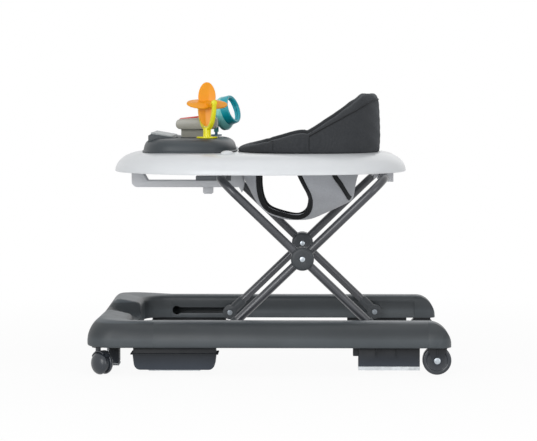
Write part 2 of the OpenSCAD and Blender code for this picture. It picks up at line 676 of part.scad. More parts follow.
// A loop of the padding, d outside the opening, at a share of the local height plus dz
function pad_loop(d, share, dz) = [for (p = open_loop(d, 0)) let (t = seat_share(p[0]))
  [p[0] - lean * share * share * t, p[1], deck_z + pad_height(p[0]) * share + dz]];
module seat_pad() {
  half = pad_t / 2;
  mid = pad_out - half;
  color("#3c3e41") ring_solid([pad_loop(pad_out - 1, 0, seat_gap), pad_loop(pad_out, 0.5, 0),
    pad_loop(mid + 0.7 * half, 0.93, 0), pad_loop(mid, 1, 0), pad_loop(mid - 0.7 * half, 0.93, 0),
    pad_loop(mid - half, 0.5, 0), pad_loop(mid - half, 0, 2 - collar), pad_loop(-seat_gap, 0, 2 - collar),
    pad_loop(-seat_gap, 0, seat_gap)]);
}
// The bucket's outline: share of its depth from the bottom, front, rear and half width,
// the last three as shares of the opening
bucket_form = [[0, -0.25, -0.02, 0.12], [0.1, -0.5, 0.22, 0.42], [0.22, -0.68, 0.46, 0.64],
  [0.42, -0.8, 0.66, 0.8], [0.68, -0.93, 0.76, 0.9], [1, -0.97, 0.97, 0.97]];
bucket_z = deck_z - bucket_depth;
bucket_top = deck_z - collar + 2 - seat_gap;
function bucket_loop(q, d) =
  let (x0 = open_mid + open_a * q[1] + d, x1 = open_mid + open_a * q[2] - d)
  at_z(loop((x0 + x1) / 2, (x1 - x0) / 2, open_b * q[3] - d, 2.4, 48),
    bucket_z + q[0] * (bucket_top - bucket_z - d) + d);
leg_gap_y = 28;      // half width of the strap between the leg holes
module seat_sling() {
  x = open_mid;
  z = bucket_z;
  color("#a4a7ab") difference() {
    loft(concat([for (q = bucket_form) bucket_loop(q, 0)],
      [for (i = [len(bucket_form) - 1:-1:0]) bucket_loop(bucket_form[i], fabric_t)]));
    for (s = sides) on_side(s) along_y(leg_gap_y, open_b) polygon([[x - 24, z + 16],
      [x - 60, z + 24], [x - 74, z + 38], [x - 78, z + 62], [x - 76, z + 100], [x - 24, z + 100],
      [x - 10, z + 62], [x - 4, z + 42], [x - 8, z + 24]]);
  }
}

// ---- Toys ----
toy_x = toy_rear - toy_len / 2;
toy_pow = 3.2;
toy_front = toy_x - toy_len / 2;
toy_wall = 2.5;
toy_top = deck_z + toy_h;
function toy_loop(d, h) =
  at_z(loop(toy_x, toy_len / 2 - d, toy_wid / 2 - d, toy_pow, 56), deck_z + h);
toy_form = [[0, 0], [0, 2.5], [2.5, 3], [4, 13], [8, 20.5], [17, 26], [30, 28]];
bed_x0 = toy_front + 15.6;
bed_x1 = toy_front + 70;
bed_half = 96;
bed_floor = toy_top - 12;
bed_rise = 8;
key_pitch = 45;
key_len = 42;
key_w = 40;
module toy_tray() {
  h = toy_h / 28;
  color("#454b4f") difference() {
    loft(concat([for (i = [len(toy_form) - 1:-1:2])
        toy_loop(toy_form[i][0] + toy_wall, toy_form[i][1] * h - toy_wall)],
      [toy_loop(toy_form[2][0] + toy_wall, 0)], [for (q = toy_form) toy_loop(q[0], q[1] * h)]));
    translate([bed_x0, -bed_half, bed_floor - 5]) cube([bed_x1 - bed_x0, 2 * bed_half, 30]);
  }
}
module key_bed() {
  g = seat_gap;
  color("#3b4045") difference() {
    along_y(-bed_half + g, bed_half - g) polygon([[bed_x0 + g, bed_floor], [bed_x1 - g, bed_floor],
      [bed_x1 - g, toy_top + 1], [bed_x0 + 6, toy_top + bed_rise], [bed_x0 + g, toy_top + bed_rise - 3]]);
    for (i = [0:3]) translate([bed_x0 + 5 - g, (i - 1.5) * key_pitch - key_w / 2 - g, bed_floor + 2.5])
      cube([key_len + 2 * g, key_w + 2 * g, 40]);
  }
}
key_low = bed_floor + 2.5 + key_travel + 0.4;
module key(i) {
  x0 = bed_x0 + 5;
  color("#c9cccd") translate([0, (i - 2.5) * key_pitch, 0]) along_y(-key_w / 2, key_w / 2)
    polygon([[x0, key_low], [x0 + key_len, key_low], [x0 + key_len, toy_top + 4],
      [x0, toy_top + bed_rise + 3]]);
}
module key_1() { key(1); }
module key_2() { key(2); }
module key_3() { key(3); }
module key_4() { key(4); }

unit_x0 = toy_x - 27;
unit_len = 82;
unit_half = 38;
unit_z0 = toy_top + 16;
unit_h = 25;
pad_x0 = unit_x0 + 7;
pad_len = 38;
pad_half = 27;
module music_unit() {
  r = 9;
  color("#97978f") difference() {
    union() {
      along_y(-unit_half, unit_half) polygon(concat(
        arc(unit_x0 + r, unit_z0 + r, r, r, 180, 270, 5),
        arc(unit_x0 + unit_len - r, unit_z0 + r, r, r, 270, 360, 5),
        arc(unit_x0 + unit_len - r, unit_z0 + unit_h - r, r, r, 0, 90, 5),
        arc(unit_x0 + r, unit_z0 + unit_h - 5 - r, r, r, 90, 180, 5)));
      translate([unit_x0 + 10, -unit_half + 12, toy_top])
        cube([44, 2 * unit_half - 24, unit_z0 - toy_top + eps]);
    }
    translate([pad_x0 - seat_gap, -pad_half - seat_gap, unit_z0 + unit_h - 15])
      cube([pad_len + 2 * seat_gap, 2 * (pad_half + seat_gap), 20]);
  }
}
module drum_pad() {
  z = unit_z0 + unit_h;
  color("#c8322d") along_y(-pad_half, pad_half) polygon([[pad_x0, z - 15 + key_travel + 0.4],
    [pad_x0 + pad_len, z - 15 + key_travel + 0.4], [pad_x0 + pad_len, z + 1], [pad_x0, z - 3.5]]);
}

star_x = toy_x + 37;
star_y = -90;
star_turn = 28;
star_z = toy_top + 66;
star_axle_r = 2.5;
fork_y = 30;
fork_t = 4.5;
fork_half = 4;
axle_seat = 3;      // depth of the blind holes that hold the axle
fork_low = star_r + 2;
module at_star() { translate([star_x, star_y, star_z]) rotate([0, 0, star_turn]) children(); }
module propeller_fork() {
  color("#e0dc1f") at_star() difference() {
    union() {
      along_x(-fork_half, fork_half) polygon(concat(
        arc(0, 0, fork_y + fork_t, fork_low + fork_t + 2, 180, 360, 16),
        [[fork_y + fork_t, 4], [fork_y, 4]], arc(0, 0, fork_y, fork_low, 360, 180, 16),
        [[-fork_y, 4], [-fork_y - fork_t, 4]]));
      for (s = sides) on_side(s) bar_y(0, 3, fork_half + 1.5, fork_y, fork_y + fork_t);
      translate([0, 0, toy_top - star_z]) cylinder(r = 20.5, h = 3);
      translate([0, 0, toy_top - star_z]) cylinder(r = 7.8, h = star_z - toy_top - fork_low - 1);
    }
    bar_y(0, 0, star_axle_r + fit, -fork_y - axle_seat, fork_y + axle_seat);
  }
}
module propeller_axle() {
  color("#d4d2ce") at_star() bar_y(0, 0, star_axle_r, -fork_y - axle_seat, fork_y + axle_seat);
}
blade_half = 16;
blade_root = 18;    // distance from the axle at which a blade is widest
up_turn = -28;      // turn of the upright pair of blades
side_turn = 62;     // turn of the other pair
module blade(turn) {
  rotate([0, 0, turn]) along_y(-2.5, 2.5) polygon(concat([[-6, 0], [6, 0]],
    arc(0, blade_root, blade_half, star_r - blade_root, 0, 180, 14)));
}
module propeller() {
  hub_half = fork_y - 1;
  color("#f49a1e") at_star() difference() {
    union() {
      bar_y(0, 0, 7, -hub_half, hub_half);
      for (s = sides) {
        rotate([0, 90 - 90 * s, 0]) blade(s * up_turn);
        rotate([0, 90 * s, 0]) blade(s * side_turn);
      }
    }
    bar_y(0, 0, star_axle_r + fit, -fork_y, fork_y);
  }
}

stand_x = toy_x + 48;
stand_y = 90;
stem_top = toy_top + 17;
ring_h = 12;        // width of the dark band round the mirror
// The shell's rings: depth behind the band, radius, how far each hangs down
mirror_r = mirror_d / 2;
glass_r = mirror_r - 3.5;
shell_form = [[25, mirror_r - 20, 10], [22, mirror_r - 8, 9], [17, mirror_r + 1, 7],
  [10, mirror_r + 5, 4], [4, mirror_r + 4.5, 1.5], [0, mirror_r + 2, 0], [0, mirror_r - 1, 0],
  [4 - ring_h, mirror_r - 1, 0]];
mirror_reach = 36;
mirror_dir = -23.6;
mirror_tilt = 17;
module at_mirror() {
  translate([stand_x, stand_y, 0]) rotate([0, 0, mirror_dir])
    translate([mirror_reach, 0, toy_top + 54]) rotate([0, 90 - mirror_tilt, 0]) children();
}
module mirror_stand() {
  color("#1a6f8c") translate([stand_x, stand_y, toy_top]) {
    cylinder(r = 11.5, h = 3);
    cylinder(r = 3, h = stem_top - toy_top);
  }
}
function shell_loop(q) = [for (i = [0:35]) let (a = 10 * i)
  [q[2] + q[1] * cos(a), q[1] * sin(a), -ring_h - q[0]]];
module mirror_shell() {
  color("#68bebe") {
    at_mirror() loft([for (q = shell_form) shell_loop(q)]);
    translate([stand_x, stand_y, 0]) difference() {
      translate([0, 0, toy_top + 8]) cylinder(r = 5, h = 26);
      translate([0, 0, toy_top + 7]) cylinder(r = 3 + fit, h = stem_top - toy_top - 7 + seat_gap);
    }
    translate([stand_x, stand_y, toy_top + 30]) rotate([0, 0, mirror_dir]) rotate([0, 60, 0])
      translate([0, 0, -3]) cylinder(r = 5, h = 14);
  }
}
module mirror_ring() {
  r = mirror_r + 1;
  bore = mirror_r - 1 + fit;
  color("#00809f") at_mirror() rotate_extrude() polygon([[glass_r - 1.5, 1.2], [glass_r, -3.9],
    [bore, -3.9], [bore, 0.1 - ring_h], [r + 1, 0.1 - ring_h], [r, 2], [r - 1.5, 4],
    [glass_r - 1.5, 3.2]]);
}
module mirror_glass() {
  color("#e4e8ea") at_mirror() translate([0, 0, -3.6]) cylinder(r = glass_r - 1, h = 2.4);
}

front_bumper();
rail_left();
rail_right();
rear_cap_left();
rear_cap_right();
front_stopper_left();
front_stopper_right();
side_stopper_left();
side_stopper_right();
rear_stopper_left();
rear_stopper_right();
stopper_rubbers();
caster_sockets();
caster_fork_left();
caster_fork_right();
caster_wheels_left();
caster_wheels_right();
rear_fork_left();
rear_fork_right();
rear_axles();
rear_wheel_left();
rear_wheel_right();
frame_a_tube();
frame_b_tube();
pivot_boot_left();
pivot_boot_right();
pivot_pins();
slider_boot_left();
slider_boot_right();
slider_pins();
hub_cover_outer_left();
hub_cover_outer_right();
hub_cover_inner_left();
hub_cover_inner_right();
hub_bolts();
tray_shell();
tray_catches();
adjuster_guide();
carriage();
release_button();
release_spring();
rear_clamp_left();
rear_clamp_right();
seat_pad();
seat_sling();
toy_tray();
key_bed();
key_1();
key_2();
key_3();
key_4();
music_unit();
drum_pad();
propeller_fork();
propeller_axle();
propeller();
mirror_stand();
mirror_shell();
mirror_ring();
mirror_glass();
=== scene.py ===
import json
import math

import bmesh
import bpy
from mathutils import Matrix, Vector


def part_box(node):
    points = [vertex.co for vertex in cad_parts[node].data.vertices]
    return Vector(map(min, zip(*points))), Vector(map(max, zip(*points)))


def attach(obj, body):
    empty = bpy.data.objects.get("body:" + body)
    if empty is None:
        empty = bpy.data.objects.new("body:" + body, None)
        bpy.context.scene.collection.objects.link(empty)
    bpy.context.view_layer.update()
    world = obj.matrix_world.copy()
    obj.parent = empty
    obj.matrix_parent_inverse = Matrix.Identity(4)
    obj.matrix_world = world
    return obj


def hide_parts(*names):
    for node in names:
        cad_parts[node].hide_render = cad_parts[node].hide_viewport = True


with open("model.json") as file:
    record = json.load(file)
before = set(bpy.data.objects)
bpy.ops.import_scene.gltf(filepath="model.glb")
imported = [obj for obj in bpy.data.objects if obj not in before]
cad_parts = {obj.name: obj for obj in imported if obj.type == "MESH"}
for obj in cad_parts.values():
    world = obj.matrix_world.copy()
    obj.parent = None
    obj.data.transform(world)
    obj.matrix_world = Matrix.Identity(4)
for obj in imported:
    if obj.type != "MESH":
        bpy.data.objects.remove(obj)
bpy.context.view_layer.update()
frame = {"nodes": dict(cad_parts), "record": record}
nodes = frame["nodes"]
record = frame["record"]
bodyOf = {node: body for body, group in record["behaviour"]["bodies"].items() for node in group}
slotOf = {part["node"]: part["material_slot"] for part in record["subparts"]}
print("frame loaded:", len(nodes), "nodes")

# camera and lamps: places and aims in metres, power in watts
camera = {"place": (0.0633, -4.373, 0.552), "aim": (-0.0155, 1, -0.0640), "lens": 147.15,
          "sensor": 36, "reach": 100}
lamps = {
    "key": {"place": (-1.5, -3.6, 1.35), "aim": (0, 0, 0.22), "size": 2.0, "power": 62},
    "fill": {"place": (2.4, -3.0, 0.9), "aim": (0, 0, 0.2), "size": 2.0, "power": 26},
    "top": {"place": (0.1, -0.3, 3.0), "aim": (0, 0, 0.2), "size": 2.2, "power": 12},
    "back": {"place": (0.6, 2.8, 1.7), "aim": (0, 0, 0.25), "size": 2.2, "power": 7},
}
backdrop = {"ambient": 0.42, "floorSize": 60, "floorDrop": 0.0005, "floorColor": (0.9, 0.9, 0.9, 1),
            "floorRough": 0.85, "nearGlow": 0.93, "glowStart": 0.45, "glowEnd": 1.3}


def aimedAt(direction):
    return Vector(direction).to_track_quat("-Z", "Y").to_euler()


bpy.ops.object.camera_add(location=camera["place"], rotation=aimedAt(camera["aim"]))
lensCamera = bpy.context.object
lensCamera.name = "productCamera"
lensCamera.data.lens = camera["lens"]
lensCamera.data.sensor_width = camera["sensor"]
lensCamera.data.clip_end = camera["reach"]
bpy.context.scene.camera = lensCamera
for lampName, lamp in lamps.items():
    toTarget = Vector(lamp["aim"]) - Vector(lamp["place"])
    bpy.ops.object.light_add(type="AREA", location=lamp["place"], rotation=aimedAt(toTarget))
    bpy.context.object.name = lampName + "Lamp"
    bpy.context.object.data.size = lamp["size"]
    bpy.context.object.data.energy = lamp["power"]


def seenRays(tree):
    # 1 for the rays that show the background: seen straight, mirrored or through glass
    rays = tree.nodes.new("ShaderNodeLightPath")
    total = rays.outputs["Is Camera Ray"]
    for name in ("Is Glossy Ray", "Is Transmission Ray"):
        either = tree.nodes.new("ShaderNodeMath")
        either.operation = "MAXIMUM"
        tree.links.new(total, either.inputs[0])
        tree.links.new(rays.outputs[name], either.inputs[1])
        total = either.outputs[0]
    return total


world = bpy.data.worlds.new("paleStudio")
bpy.context.scene.world = world
world.use_nodes = True
sky = world.node_tree
skyLight = sky.nodes["Background"]
skyLight.inputs["Color"].default_value = (1, 1, 1, 1)
skyStrength = sky.nodes.new("ShaderNodeMapRange")
sky.links.new(seenRays(sky), skyStrength.inputs["Value"])
skyStrength.inputs["To Min"].default_value = backdrop["ambient"]
skyStrength.inputs["To Max"].default_value = 1
sky.links.new(skyStrength.outputs["Result"], skyLight.inputs["Strength"])
bpy.context.scene.view_settings.view_transform = "Standard"


def srgb(code):
    # a colour written as in a paint chart, as the linear values that the shader takes
    parts = [int(code[i:i + 2], 16) / 255 for i in (1, 3, 5)]
    return [p / 12.92 if p <= 0.04045 else ((p + 0.055) / 1.055) ** 2.4 for p in parts] + [1]


def shaded(base, share, lift=0.0):
    # the same colour, darker or lighter by this share
    return [min(1, c * share + lift) for c in base[:3]] + [1]


def newMaterial(name):
    # a material with its nodes, its shader and the piece's own coordinates
    material = bpy.data.materials.new(name)
    material.use_nodes = True
    tree = material.node_tree
    shader = tree.nodes["Principled BSDF"]
    place = tree.nodes.new("ShaderNodeTexCoord")
    return material, tree, shader, place.outputs["Object"]


def noise(tree, place, scale, detail, rough, stretch=None):
    # a cloudy pattern on the piece's own coordinates, drawn out along the axes by stretch
    node = tree.nodes.new("ShaderNodeTexNoise")
    if stretch:
        mapping = tree.nodes.new("ShaderNodeMapping")
        mapping.inputs["Scale"].default_value = stretch
        tree.links.new(place, mapping.inputs["Vector"])
        place = mapping.outputs["Vector"]
    tree.links.new(place, node.inputs["Vector"])
    node.inputs["Scale"].default_value = scale
    node.inputs["Detail"].default_value = detail
    node.inputs["Roughness"].default_value = rough
    return node.outputs["Fac"]


def ramp(tree, value, stops):
    node = tree.nodes.new("ShaderNodeValToRGB")
    tree.links.new(value, node.inputs["Fac"])
    points = node.color_ramp.elements
    while len(points) < len(stops):
        points.new(0.5)
    for point, (position, color) in zip(points, stops):
        point.position = position
        point.color = color
    return node.outputs["Color"]


def toRange(tree, value, low, high):
    node = tree.nodes.new("ShaderNodeMapRange")
    tree.links.new(value, node.inputs["Value"])
    node.inputs["To Min"].default_value = low
    node.inputs["To Max"].default_value = high
    return node.outputs["Result"]


def blended(tree, share, first, second, mode="MIX"):
    node = tree.nodes.new("ShaderNodeMix")
    node.data_type = "RGBA"
    node.blend_type = mode
    for socket, value in ((0, share), (6, first), (7, second)):    # factor, A and B of a colour mix
        target = node.inputs[socket]
        if isinstance(value, (int, float, list, tuple)):
            target.default_value = value
        else:
            tree.links.new(value, target)
    return node.outputs[2]


def bumped(tree, shader, heights):
    # heights: (value, strength, distance in metres), the coarsest first
    normal = None
    for value, strength, distance in heights:
        node = tree.nodes.new("ShaderNodeBump")
        node.inputs["Strength"].default_value = strength
        node.inputs["Distance"].default_value = distance
        tree.links.new(value, node.inputs["Height"])
        if normal:
            tree.links.new(normal, node.inputs["Normal"])
        normal = node.outputs["Normal"]
    tree.links.new(normal, shader.inputs["Normal"])


def wornEdges(tree):
    # pale on convex edges, where handling polishes the moulding
    geometry = tree.nodes.new("ShaderNodeNewGeometry")
    return ramp(tree, geometry.outputs["Pointiness"], [(0.52, [0, 0, 0, 1]), (0.60, [1, 1, 1, 1])])


def paintedShadeByHeight(tree, place, stops):
    # painted shade and highlight: a share of the colour by height above the floor; stops are (height in
    # metres, share)
    low, high = stops[0][0], stops[-1][0]
    split = tree.nodes.new("ShaderNodeSeparateXYZ")
    tree.links.new(place, split.inputs[0])
    spread = tree.nodes.new("ShaderNodeMapRange")
    tree.links.new(split.outputs["Z"], spread.inputs["Value"])
    spread.inputs["From Min"].default_value = low
    spread.inputs["From Max"].default_value = high
    return ramp(tree, spread.outputs[0],
                [((z - low) / (high - low), [share, share, share, 1]) for z, share in stops])


def mouldedPlastic(name, color, rough, grain, drift=0.12, worn=0.10, coat=0.0, heights=None):
    # injection-moulded plastic: spark-eroded grain, slow flow marks, rubbed edges, and painted shade by
    # height where heights are given
    material, tree, shader, place = newMaterial(name)
    base = srgb(color)
    flow = noise(tree, place, scale=9, detail=3, rough=0.55)
    tone = ramp(tree, flow, [(0.3, shaded(base, 1 - drift)), (0.7, shaded(base, 1 + drift, 0.003))])
    rubbed = shaded(base, 1.5, 0.02)
    edge = tree.nodes.new("ShaderNodeMath")
    edge.operation = "MULTIPLY"
    tree.links.new(wornEdges(tree), edge.inputs[0])
    edge.inputs[1].default_value = worn
    mixed = blended(tree, edge.outputs[0], tone, rubbed)
    # painted shade and highlight by height, multiplied into the colour
    if heights:
        mixed = blended(tree, 1.0, mixed, paintedShadeByHeight(tree, place, heights), "MULTIPLY")
    tree.links.new(mixed, shader.inputs["Base Color"])
    dust = noise(tree, place, scale=45, detail=4, rough=0.6)
    tree.links.new(toRange(tree, dust, rough - 0.07, rough + 0.09), shader.inputs["Roughness"])
    shader.inputs["Specular IOR Level"].default_value = 0.4
    shader.inputs["Coat Weight"].default_value = coat
    shader.inputs["Coat Roughness"].default_value = 0.18
    eroded = noise(tree, place, scale=1500, detail=2, rough=0.6)
    bumped(tree, shader, [(flow, 0.08, 0.0006), (eroded, grain, 0.00012)])
    return material


def paintedTube(name, color):
    # satin powder coat with a faint orange peel
    material, tree, shader, place = newMaterial(name)
    base = srgb(color)
    peel = noise(tree, place, scale=420, detail=2, rough=0.5)
    cloud = noise(tree, place, scale=14, detail=3, rough=0.5)
    speckle = noise(tree, place, scale=90, detail=3, rough=0.6)
    tree.links.new(ramp(tree, cloud, [(0.3, shaded(base, 0.88)), (0.7, shaded(base, 1.14))]),
                   shader.inputs["Base Color"])
    tree.links.new(toRange(tree, speckle, 0.27, 0.40), shader.inputs["Roughness"])
    shader.inputs["Metallic"].default_value = 0.15
    shader.inputs["Coat Weight"].default_value = 0.35
    shader.inputs["Coat Roughness"].default_value = 0.22
    bumped(tree, shader, [(peel, 0.12, 0.00015)])
    return material


def zincSteel(name, color, rough=0.3):
    # turned and zinc-plated steel with fine brush lines
    material, tree, shader, place = newMaterial(name)
    base = srgb(color)
    lines = noise(tree, place, scale=700, detail=3, rough=0.6, stretch=(1, 0.08, 1))
    bloom = noise(tree, place, scale=120, detail=4, rough=0.6)
    tree.links.new(ramp(tree, bloom, [(0.3, shaded(base, 0.8)), (0.7, base)]), shader.inputs["Base Color"])
    shader.inputs["Metallic"].default_value = 0.95
    tree.links.new(toRange(tree, lines, rough - 0.08, rough + 0.14), shader.inputs["Roughness"])
    bumped(tree, shader, [(lines, 0.15, 0.00008)])
    return material


def wovenCloth(name, color, thread=0.0011, fuzz=0.35, slub=0.16, sheenTint="#9aa0a6"):
    # plain weave read in all three directions, so that it lies on a curved cover too
    material, tree, shader, place = newMaterial(name)
    base = srgb(color)
    waves = []
    for axis, turn in (("X", 0.0), ("Y", 0.35), ("Z", 0.7)):
        wave = tree.nodes.new("ShaderNodeTexWave")
        wave.wave_type = "BANDS"
        wave.bands_direction = axis
        wave.inputs["Scale"].default_value = math.pi / (10 * thread)
        wave.inputs["Distortion"].default_value = 0.6
        wave.inputs["Detail"].default_value = 1
        wave.inputs["Detail Scale"].default_value = 40
        wave.inputs["Phase Offset"].default_value = turn
        tree.links.new(place, wave.inputs["Vector"])
        waves.append(wave.outputs["Fac"])
    weave = waves[0]
    for other in waves[1:]:
        node = tree.nodes.new("ShaderNodeMath")
        node.operation = "MULTIPLY" if other is waves[1] else "ADD"
        tree.links.new(weave, node.inputs[0])
        tree.links.new(other, node.inputs[1])
        weave = node.outputs[0]
    weave = toRange(tree, weave, 0.0, 0.7)
    slubs = noise(tree, place, scale=260, detail=3, rough=0.65)
    patches = noise(tree, place, scale=16, detail=3, rough=0.5)
    dark, pale = shaded(base, 1 - slub), shaded(base, 1 + slub, 0.004)
    tone = ramp(tree, slubs, [(0.32, dark), (0.68, pale)])
    tone = blended(tree, 0.35, tone, ramp(tree, patches, [(0.3, dark), (0.7, pale)]), "MIX")
    threads = ramp(tree, weave, [(0.0, [0.78, 0.78, 0.78, 1]), (0.8, [1.12, 1.12, 1.12, 1])])
    tree.links.new(blended(tree, 1.0, tone, threads, "MULTIPLY"), shader.inputs["Base Color"])
    tree.links.new(toRange(tree, slubs, 0.78, 0.96), shader.inputs["Roughness"])
    shader.inputs["Specular IOR Level"].default_value = 0.2
    shader.inputs["Sheen Weight"].default_value = fuzz
    shader.inputs["Sheen Roughness"].default_value = 0.5
    shader.inputs["Sheen Tint"].default_value = srgb(sheenTint)
    bumped(tree, shader, [(patches, 0.25, 0.0016), (weave, 0.45, 0.00030), (slubs, 0.2, 0.0002)])
    return material


def mirrorFilm(name):
    # foil mirror behind clear plastic: silvery, a little uneven and finely scratched
    material, tree, shader, place = newMaterial(name)
    ripple = noise(tree, place, scale=55, detail=2, rough=0.5)
    scratch = noise(tree, place, scale=500, detail=4, rough=0.7, stretch=(1, 1, 0.12))
    tree.links.new(ramp(tree, ripple, [(0.3, [0.93, 0.95, 0.96, 1]), (0.7, [0.98, 0.99, 1, 1])]),
                   shader.inputs["Base Color"])
    shader.inputs["Metallic"].default_value = 1
    tree.links.new(toRange(tree, scratch, 0.04, 0.16), shader.inputs["Roughness"])
    bumped(tree, shader, [(ripple, 0.08, 0.0008)])
    return material


def softRubber(name, color):
    # matt rubber, scuffed where it meets the floor
    material, tree, shader, place = newMaterial(name)
    base = srgb(color)
    scuff = noise(tree, place, scale=60, detail=5, rough=0.65)
    pores = noise(tree, place, scale=900, detail=2, rough=0.5)
    tree.links.new(ramp(tree, scuff, [(0.3, shaded(base, 0.78)), (0.7, shaded(base, 1.12))]),
                   shader.inputs["Base Color"])
    tree.links.new(toRange(tree, scuff, 0.7, 0.9), shader.inputs["Roughness"])
    shader.inputs["Specular IOR Level"].default_value = 0.3
    bumped(tree, shader, [(pores, 0.3, 0.0002)])
    return material


# painted shade and highlight: the side rails' colour is darker above their flare, with a painted highlight
# along their top edge, and the stoppers get a painted shadow, darkest at the top, under the rails
railPaintedShadeAndHighlight = [(0.050, 0.60), (0.058, 0.66), (0.067, 0.66), (0.072, 0.48), (0.077, 0.385), (0.085, 0.37),
             (0.0955, 0.40), (0.0985, 0.95), (0.112, 1.0)]
stopperPaintedShadow = [(0.010, 0.95), (0.019, 0.78), (0.030, 0.46), (0.041, 0.22), (0.050, 0.15)]
finish = {
    # the base plastic carries the rails' painted shade and highlight by height, the stopper plastic the
    # stoppers' painted shadow
    "base_plastic": mouldedPlastic("basePlastic", "#50575c", 0.46, 0.3, worn=0.12, heights=railPaintedShadeAndHighlight),
    "stopper_plastic": mouldedPlastic("stopperPlastic", "#323943", 0.60, 0.35, heights=stopperPaintedShadow),
    "stopper_rubber": softRubber("stopperRubber", "#e2e7eb"),
    "wheel_plastic": mouldedPlastic("wheelPlastic", "#2b3037", 0.32, 0.12, worn=0.15, coat=0.25),
    "steel": zincSteel("zincSteel", "#bfc7ce"),
    "tube_paint": paintedTube("tubePaint", "#3c3e43"),
    "joint_plastic": mouldedPlastic("jointPlastic", "#34383c", 0.45, 0.25),
    "tray_white": mouldedPlastic("trayWhite", "#dadde0", 0.33, 0.12, drift=0.02, worn=0.0, coat=0.15),
    "adjuster_grey": mouldedPlastic("adjusterGrey", "#d0d2d6", 0.50, 0.25, drift=0.05),
    "carriage_grey": mouldedPlastic("carriageGrey", "#7b7e82", 0.55, 0.25, drift=0.06),
    "seat_fabric": wovenCloth("seatFabric", "#36383b", fuzz=0.22),
    "bucket_fabric": wovenCloth("bucketFabric", "#babdc3", fuzz=0.2, slub=0.08, sheenTint="#ffffff"),
    "toy_grey": mouldedPlastic("toyGrey", "#363c40", 0.45, 0.25),
    "key_plastic": mouldedPlastic("keyPlastic", "#8f9597", 0.36, 0.15, drift=0.04),
    "unit_silver": mouldedPlastic("unitSilver", "#98988f", 0.34, 0.12, drift=0.05, coat=0.3),
    "drum_red": mouldedPlastic("drumRed", "#c8322d", 0.30, 0.1, drift=0.04, coat=0.3),
    "fork_yellow": mouldedPlastic("forkYellow", "#e4dd08", 0.30, 0.1, drift=0.04, coat=0.2),
    "star_orange": mouldedPlastic("starOrange", "#ef9c04", 0.42, 0.1, drift=0.04, coat=0.08),
    "stand_blue": mouldedPlastic("standBlue", "#1a6f8c", 0.34, 0.1, drift=0.05, coat=0.2),
    "shell_teal": mouldedPlastic("shellTeal", "#7fd0cc", 0.32, 0.1, drift=0.04, coat=0.2),
    "ring_teal": mouldedPlastic("ringTeal", "#00a6b6", 0.32, 0.1, drift=0.05, coat=0.2),
    "mirror_glass": mirrorFilm("mirrorFilm"),
}
bindingBlack = wovenCloth("bindingBlack", "#1d1e20", thread=0.0008, fuzz=0.25, slub=0.2)
pinSteel = zincSteel("pinSteel", "#868c92", 0.4)    # the lower pins are duller than the hub bolts
ownFinish = {"pivot_pins": pinSteel, "slider_pins": pinSteel}
print("materials ready:", len(finish) + 2)


def selectOnly(piece):
    bpy.ops.object.select_all(action="DESELECT")
    piece.select_set(True)
    bpy.context.view_layer.objects.active = piece


def inEditMode(piece, *operations):
    # runs these operators on all of the piece's mesh
    selectOnly(piece)
    bpy.ops.object.mode_set(mode="EDIT")
    bpy.ops.mesh.select_all(action="SELECT")
    for operation in operations:
        operation()
    bpy.ops.object.mode_set(mode="OBJECT")
    return piece


def facedOut():
    bpy.ops.mesh.normals_make_consistent(inside=False)


def capped():
    bpy.ops.mesh.fill_holes(sides=0)


def joined(pieces):
    # makes the first piece out of all of them
    selectOnly(pieces[0])
    for piece in pieces[1:]:
        piece.select_set(True)
    bpy.ops.object.join()
    return bpy.context.object


def applied(piece, kind, **values):
    # adds a modifier with these values and applies it
    selectOnly(piece)
    modifier = piece.modifiers.new(kind.title(), kind)
    for key, value in values.items():
        setattr(modifier, key, value)
    bpy.ops.object.modifier_apply(modifier=modifier.name)
    return piece


def smoothed(piece, angle):
    selectOnly(piece)
    bpy.ops.object.shade_smooth_by_angle(angle=math.radians(angle))
    return piece


def settled(piece, name, body, slot, material=None):
    # names the piece, gives it its finish and lets it ride; its place goes into its mesh
    selectOnly(piece)
    bpy.ops.object.transform_apply(location=True, rotation=True, scale=True)
    piece.name = piece.data.name = name
    piece.data.materials.clear()
    piece.data.materials.append(material or finish[slot])
    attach(piece, body)
    return piece


def mergedCopy(node, name):
    # a copy of a CAD node's triangles, merged to faces that can be bevelled
    piece = nodes[node].copy()
    piece.data = nodes[node].data.copy()
    for key in list(piece.keys()):
        del piece[key]
    piece.parent = None
    piece.name = name
    bpy.context.scene.collection.objects.link(piece)
    inEditMode(piece, lambda: bpy.ops.mesh.remove_doubles(threshold=0.00002),
               lambda: bpy.ops.mesh.dissolve_limited(angle_limit=math.radians(0.4), delimit=set()))
    if piece.data.attributes.get("custom_normal"):
        bpy.ops.mesh.customdata_custom_splitnormals_clear()
    return piece


def finishedNode(node, bevel):
    # the CAD node's own shape, with the edges that turn more than this rounded, and smooth curves
    angle = 30
    piece = mergedCopy(node, node + "Finished")
    if bevel:
        applied(piece, "BEVEL", width=bevel, segments=2, limit_method="ANGLE",
                angle_limit=math.radians(angle), use_clamp_overlap=True, miter_outer="MITER_ARC")
    smoothed(piece, angle + 4)
    settled(piece, node + "Finished", bodyOf[node], slotOf[node], ownFinish.get(node))
    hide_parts(node)
    return piece


